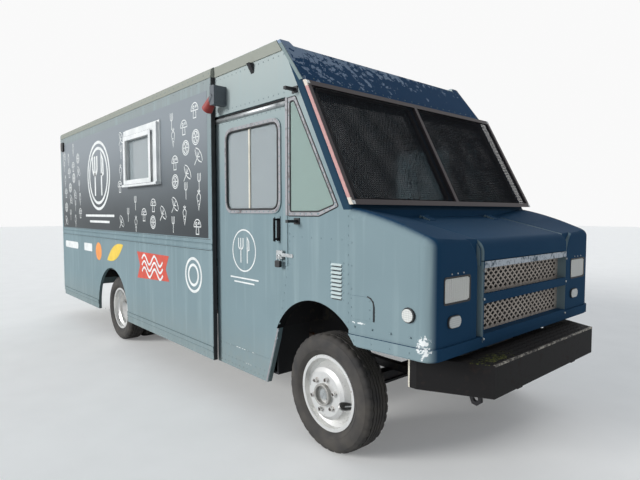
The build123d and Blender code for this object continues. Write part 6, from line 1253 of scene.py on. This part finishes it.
# %% Headlamps
lamp_low, lamp_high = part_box("headlamps")
LAMP_MIDDLE_Y = 0.852
BEZEL_WIDE = 0.010
BOWL = ((1.0, -0.012), (0.8, -0.026), (0.5, -0.040), (0.2, -0.046))
FLUTES = 23
LENS_CORNER = 0.020
LENS_MARGIN = 0.011
for side_name, side in SIDES:
    span = sorted((side * (2 * LAMP_MIDDLE_Y - lamp_high.y), side * lamp_high.y))
    lamp_box = (*span, lamp_low.z, lamp_high.z)
    on_face = facing_front(lamp_high.x)
    inner = box_outline(*grown(lamp_box, -BEZEL_WIDE), 0.018)
    bezel = surround(f"headlamp_bezel_{side_name}", box_outline(*lamp_box, 0.022), inner, (-0.050, 0.0),
                     on_face, black_plastic, edge=0.001)
    if side_name == "right":
        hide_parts("headlamps")
    centre = Vector(((span[0] + span[1]) / 2, (lamp_low.z + lamp_high.z) / 2))
    bm = bmesh.new()
    bowl_rings = [[bm.verts.new(on_face(*(centre + (p - centre) * share), depth)) for p in inner]
                  for share, depth in BOWL]
    for a, b in zip(bowl_rings, bowl_rings[1:]):
        band(bm, a, b)
    bm.faces.new(bowl_rings[-1])
    smooth(piece(f"headlamp_reflector_{side_name}", bm, reflector))
    bm = bmesh.new()
    flute_wide = (span[1] - span[0] - 2 * LENS_MARGIN) / FLUTES
    for i in range(FLUTES):
        a = span[0] + LENS_MARGIN + flute_wide * i
        from_edge = flute_wide * (min(i, FLUTES - 1 - i) + 0.5)
        cut = LENS_CORNER - math.sqrt(LENS_CORNER ** 2 - max(0.0, LENS_CORNER - from_edge) ** 2)
        flute = quad(a, a + flute_wide, lamp_low.z + LENS_MARGIN + cut, lamp_high.z - LENS_MARGIN - cut)
        slab(bm, flute, -0.010, -0.003 - 0.001 * (i % 2), on_face)
    soften(piece(f"headlamp_lens_{side_name}", bm, lens_glass), 0.001)
    plate(f"headlamp_screws_{side_name}",
          [round_outline(centre.x + aside, lamp_high.z + 0.014, 0.005, 8) for aside in (-0.060, 0.0, 0.060)],
          (0.0, 0.003), facing_front(FACE_X), extruded_aluminium)
print("headlamps from y", lamp_low.y, "to", lamp_high.y)

# %% [markdown]
# ## Front bumper
# The top of the bumper is a step of tread plate, its front edge is chipped to the metal, and the ends of the
# black wings carry a pale strip that is a painted highlight. Rolled tread plate has raised lozenges that turn
# a quarter from one to the next, and here each is a low plate of its own, so that the light catches its rim.

# %% Front bumper
bumper_low, bumper_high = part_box("front_bumper")
BUMPER_HALF = 0.722
TREAD_ROWS, TREAD_COLUMNS = 48, 5
bumper_face, bumper_top = bumper_high.x, bumper_high.z


def on_bumper_top(u, v, depth):
    """Flat drawings in x and y on the bumper's step."""
    return (u, v, bumper_top + depth)


def lozenge(row, column):
    """One raised mark of tread plate, turned a quarter from its neighbours."""
    here = Vector((bumper_face - 0.20 + column * 0.042, -0.69 + row * 0.0293))
    turn = math.pi / 4 if (row + column) % 2 else -math.pi / 4
    along, across = Vector((math.cos(turn), math.sin(turn))), Vector((-math.sin(turn), math.cos(turn)))
    return [here + along * 0.014, here + across * 0.004, here - along * 0.014, here - across * 0.004]


STEP_PLATE = [(bumper_face - 0.232, -0.675), (bumper_face - 0.010, -0.715), (bumper_face - 0.010, 0.715),
              (bumper_face - 0.232, 0.675)]
plate("bumper_step_plate", [STEP_PLATE], (0.0, 0.002), on_bumper_top, bumper_steel)
plate("bumper_tread_pattern", [lozenge(i, j) for i in range(TREAD_ROWS) for j in range(TREAD_COLUMNS)],
      (0.0015, 0.0035), on_bumper_top, bumper_steel)
plate("bumper_front_edge", [quad(-BUMPER_HALF, BUMPER_HALF, bumper_top - 0.010, bumper_top + 0.002)],
      (-0.012, 0.0015), facing_front(bumper_face), chipped_edge, edge=0.002)
# Painted highlight: a pale strip at the end of each black bumper wing.
bm = bmesh.new()
for _, side in SIDES:
    wing_edge = quad(AXLE_X + 0.580, AXLE_X + 0.592, bumper_low.z, bumper_top - 0.01)
    slab(bm, wing_edge, 0.925, 0.9275, on_side(side, 0))
soften(piece("bumper_wing_edge_highlights", bm, cream_bar, slot="frame_black"), 0.0008)
print("bumper step with", TREAD_ROWS * TREAD_COLUMNS, "lozenges")

# %% [markdown]
# ## Small lamps and the rear
# Marker lamps sit in black gaskets, tail lamps are red, and the blank plate hangs under the doors. The CAD
# lamps keep their shape, and only what is of another stuff is added round or over them.

# %% Small lamps and the rear
# The oval lamps stand at these places across and up, not quite even on the two sides.
OVAL_LAMPS = {"right": (-0.888, 1.020), "left": (0.780, 1.004)}
SIDE_LAMP = (AXLE_X + 0.715, 1.061)
REAR_FRAME_X = BODY_REAR_X - 0.040
tail_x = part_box("marker_lamps")[0].x
for side_name, side in SIDES:
    y, z = OVAL_LAMPS[side_name]
    surround(f"oval_lamp_gasket_{side_name}", box_outline(y - 0.062, y + 0.062, z - 0.036, z + 0.036, 0.034),
             box_outline(y - 0.055, y + 0.055, z - 0.029, z + 0.029, 0.028), (0.0, 0.010), facing_front(FACE_X),
             seal_rubber, edge=0.002)
    surround(f"side_lamp_gasket_{side_name}", round_outline(*SIDE_LAMP, 0.0445),
             round_outline(*SIDE_LAMP, 0.040), (1.088, 1.108), on_side(side, 0), seal_rubber, edge=0.002)
    plate(f"tail_lenses_{side_name}", [round_outline(side * 0.965, z, 0.050) for z in (0.620, 0.760)],
          (-0.002, 0.004), facing_back(tail_x), red_lens, edge=0.002)
    plate(f"rear_post_lamp_{side_name}",
          [box_outline(BODY_REAR_X + 0.069, BODY_REAR_X + 0.181, 2.596, 2.738, 0.03)], (0.0, 0.0295),
          on_side(side, BODY_HALF), black_plastic, edge=0.006, segments=3)
plate("blank_plate", [box_outline(-0.26, 0.26, 0.560, 0.690, 0.012)], (0.0, 0.004), facing_back(REAR_FRAME_X),
      white_print, edge=0.001)
print("lamps dressed, plate left blank")

# %% [markdown]
# ## Driver's seat
# A van seat is moulded foam under stitched vinyl on a steel post. Each pad is a grid whose points swell
# outward from a flat core, fullest in the middle and pulled in at the sewn edge, with two sewn channels. A
# cloth simulation could swell them, but a formula gives the same pad on every run.

# %% A padded cushion
seat_low, seat_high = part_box("driver_seat")
SEAT_MIDDLE = Vector(((seat_low.x + seat_high.x) / 2, (seat_low.y + seat_high.y) / 2, 0))
CUSHION_TOP = 1.234
PAD_STEPS = 28
CHANNELS = (-0.45, 0.45)


def pad(name, wide, tall, thick, to_van):
    """A crowned pad of width and height about the origin, with sewn channels across its front face."""
    bm = bmesh.new()
    sheets = []
    for face in (1, -1):
        rows = []
        for j in range(PAD_STEPS + 1):
            row = []
            for i in range(PAD_STEPS + 1):
                u, v = 2 * i / PAD_STEPS - 1, 2 * j / PAD_STEPS - 1
                square = 1 - 0.10 * (u * u * v * v)
                swell = ((1 - u ** 6) * (1 - v ** 6)) ** 0.5
                seam = min([1.0] + [0.35 + abs(u - c) * 9 for c in CHANNELS]) if face > 0 else 1.0
                depth = face * thick / 2 * (0.18 + 0.82 * swell * seam)
                row.append(bm.verts.new(to_van(u * square * wide / 2, v * square * tall / 2, depth)))
            rows.append(row)
        for a, b in zip(rows, rows[1:]):
            band(bm, a, b, closed=False)
        sheets.append(rows)
    rims = [[*rows[0], *[row[-1] for row in rows[1:]], *reversed(rows[-1][:-1]),
             *[row[0] for row in reversed(rows[1:-1])]] for rows in sheets]
    band(bm, *rims)
    made = smooth(piece(name, bm, seat_vinyl))
    return made


# %% Driver's seat
def lying(u, v, depth):
    """Flat drawings in y and x on the cushion's middle plane."""
    return (SEAT_MIDDLE.x + v, SEAT_MIDDLE.y + u, CUSHION_TOP - 0.055 + depth)


def standing(u, v, depth):
    """Flat drawings in y and z on the backrest's middle plane."""
    return (seat_low.x + 0.050 + depth, SEAT_MIDDLE.y + u, CUSHION_TOP + 0.300 + v)


cushion = pad("seat_cushion", 0.44, 0.44, 0.105, lying)
pad("seat_backrest", 0.42, 0.58, 0.095, standing)
bm = bmesh.new()
for radius, low, high in ((0.100, 0.7945, 0.805), (0.058, 0.805, 1.105), (0.120, 1.105, 1.126)):
    slab(bm, round_outline(SEAT_MIDDLE.x, SEAT_MIDDLE.y, radius), low, high, lambda u, v, depth: (u, v, depth))
soften(piece("seat_post", bm, black_enamel), 0.002)
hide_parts("driver_seat")
print("seat at", SEAT_MIDDLE[:2])

# %% [markdown]
# ## Studio
# A pale floor and plain soft light. Three far lamps stand for the sun and for light thrown back from round
# about: the key over the right side, low as the sun stood in the photograph, a weaker one for the left side
# and the rear, and a faint one from the front. An even sky fills the rest. The background is white only where
# the camera, a reflection or a pane looks straight at it, and the floor is lifted a little for the camera.

# %% Studio
floor_mesh = bpy.data.meshes.new("studio_floor")
floor_mesh.from_pydata([(*p, 0) for p in quad(-60, 60, -60, 60)], [], [(0, 1, 2, 3)])
floor = bpy.data.objects.new("studio_floor", floor_mesh)
bpy.context.scene.collection.objects.link(floor)
floor.location.z = -0.001
concrete, tree, shader, place = finish_named("studio_floor", 0.9, 0.0, "#dfdfdc")
grain = add(tree, "TexNoise", {"Scale": per_metre(400), "Detail": 4.0}, {"Vector": place})
cover(concrete, grain.outputs["Fac"], "#e9e9e6")
seen = add(tree, "LightPath")
lift = add(tree, "Math", {"operation": "MULTIPLY", 1: 0.15}, {0: seen.outputs["Is Camera Ray"]})
shader.inputs["Emission Color"].default_value = linear("#ffffff")
tree.links.new(lift.outputs[0], shader.inputs["Emission Strength"])
floor_mesh.materials.append(concrete)

world = bpy.data.worlds.new("studio")
bpy.context.scene.world = world
world.use_nodes = True
tree = world.node_tree
sky = tree.nodes["Background"]
sky.inputs["Color"].default_value = linear("#d3dce8")
sky.inputs["Strength"].default_value = 0.50
white = add(tree, "Background", {"Color": (1, 1, 1, 1), "Strength": 0.95})
rays = add(tree, "LightPath")
through = add(tree, "Math", {"operation": "MAXIMUM"},
              {0: rays.outputs["Is Camera Ray"], 1: rays.outputs["Is Transmission Ray"]})
seen = add(tree, "Math", {"operation": "MAXIMUM"}, {0: through, 1: rays.outputs["Is Glossy Ray"]})
both = add(tree, "MixShader", None, {0: seen, 1: sky, 2: white})
tree.links.new(both.outputs[0], tree.nodes["World Output"].inputs[0])


def distant_lamp(name, towards, spread, strength):
    """A far, soft lamp in a direction from the van. Its light is as strong at every place on the floor."""
    data = bpy.data.lights.new(name, "SUN")
    data.angle, data.energy = math.radians(spread), strength
    lamp = bpy.data.objects.new(name, data)
    bpy.context.scene.collection.objects.link(lamp)
    lamp.location = towards
    lamp.rotation_euler = (-Vector(towards)).to_track_quat("-Z", "Y").to_euler()


distant_lamp("key", (-4.0, -10.5, 3.6), 22, 3.1)
distant_lamp("left_fill", (-8.0, 9.0, 5.0), 60, 0.9)
distant_lamp("front_fill", (9.0, 2.0, 3.0), 60, 0.18)
bpy.context.scene.view_settings.view_transform = "Standard"
print("three lamps and an even sky")
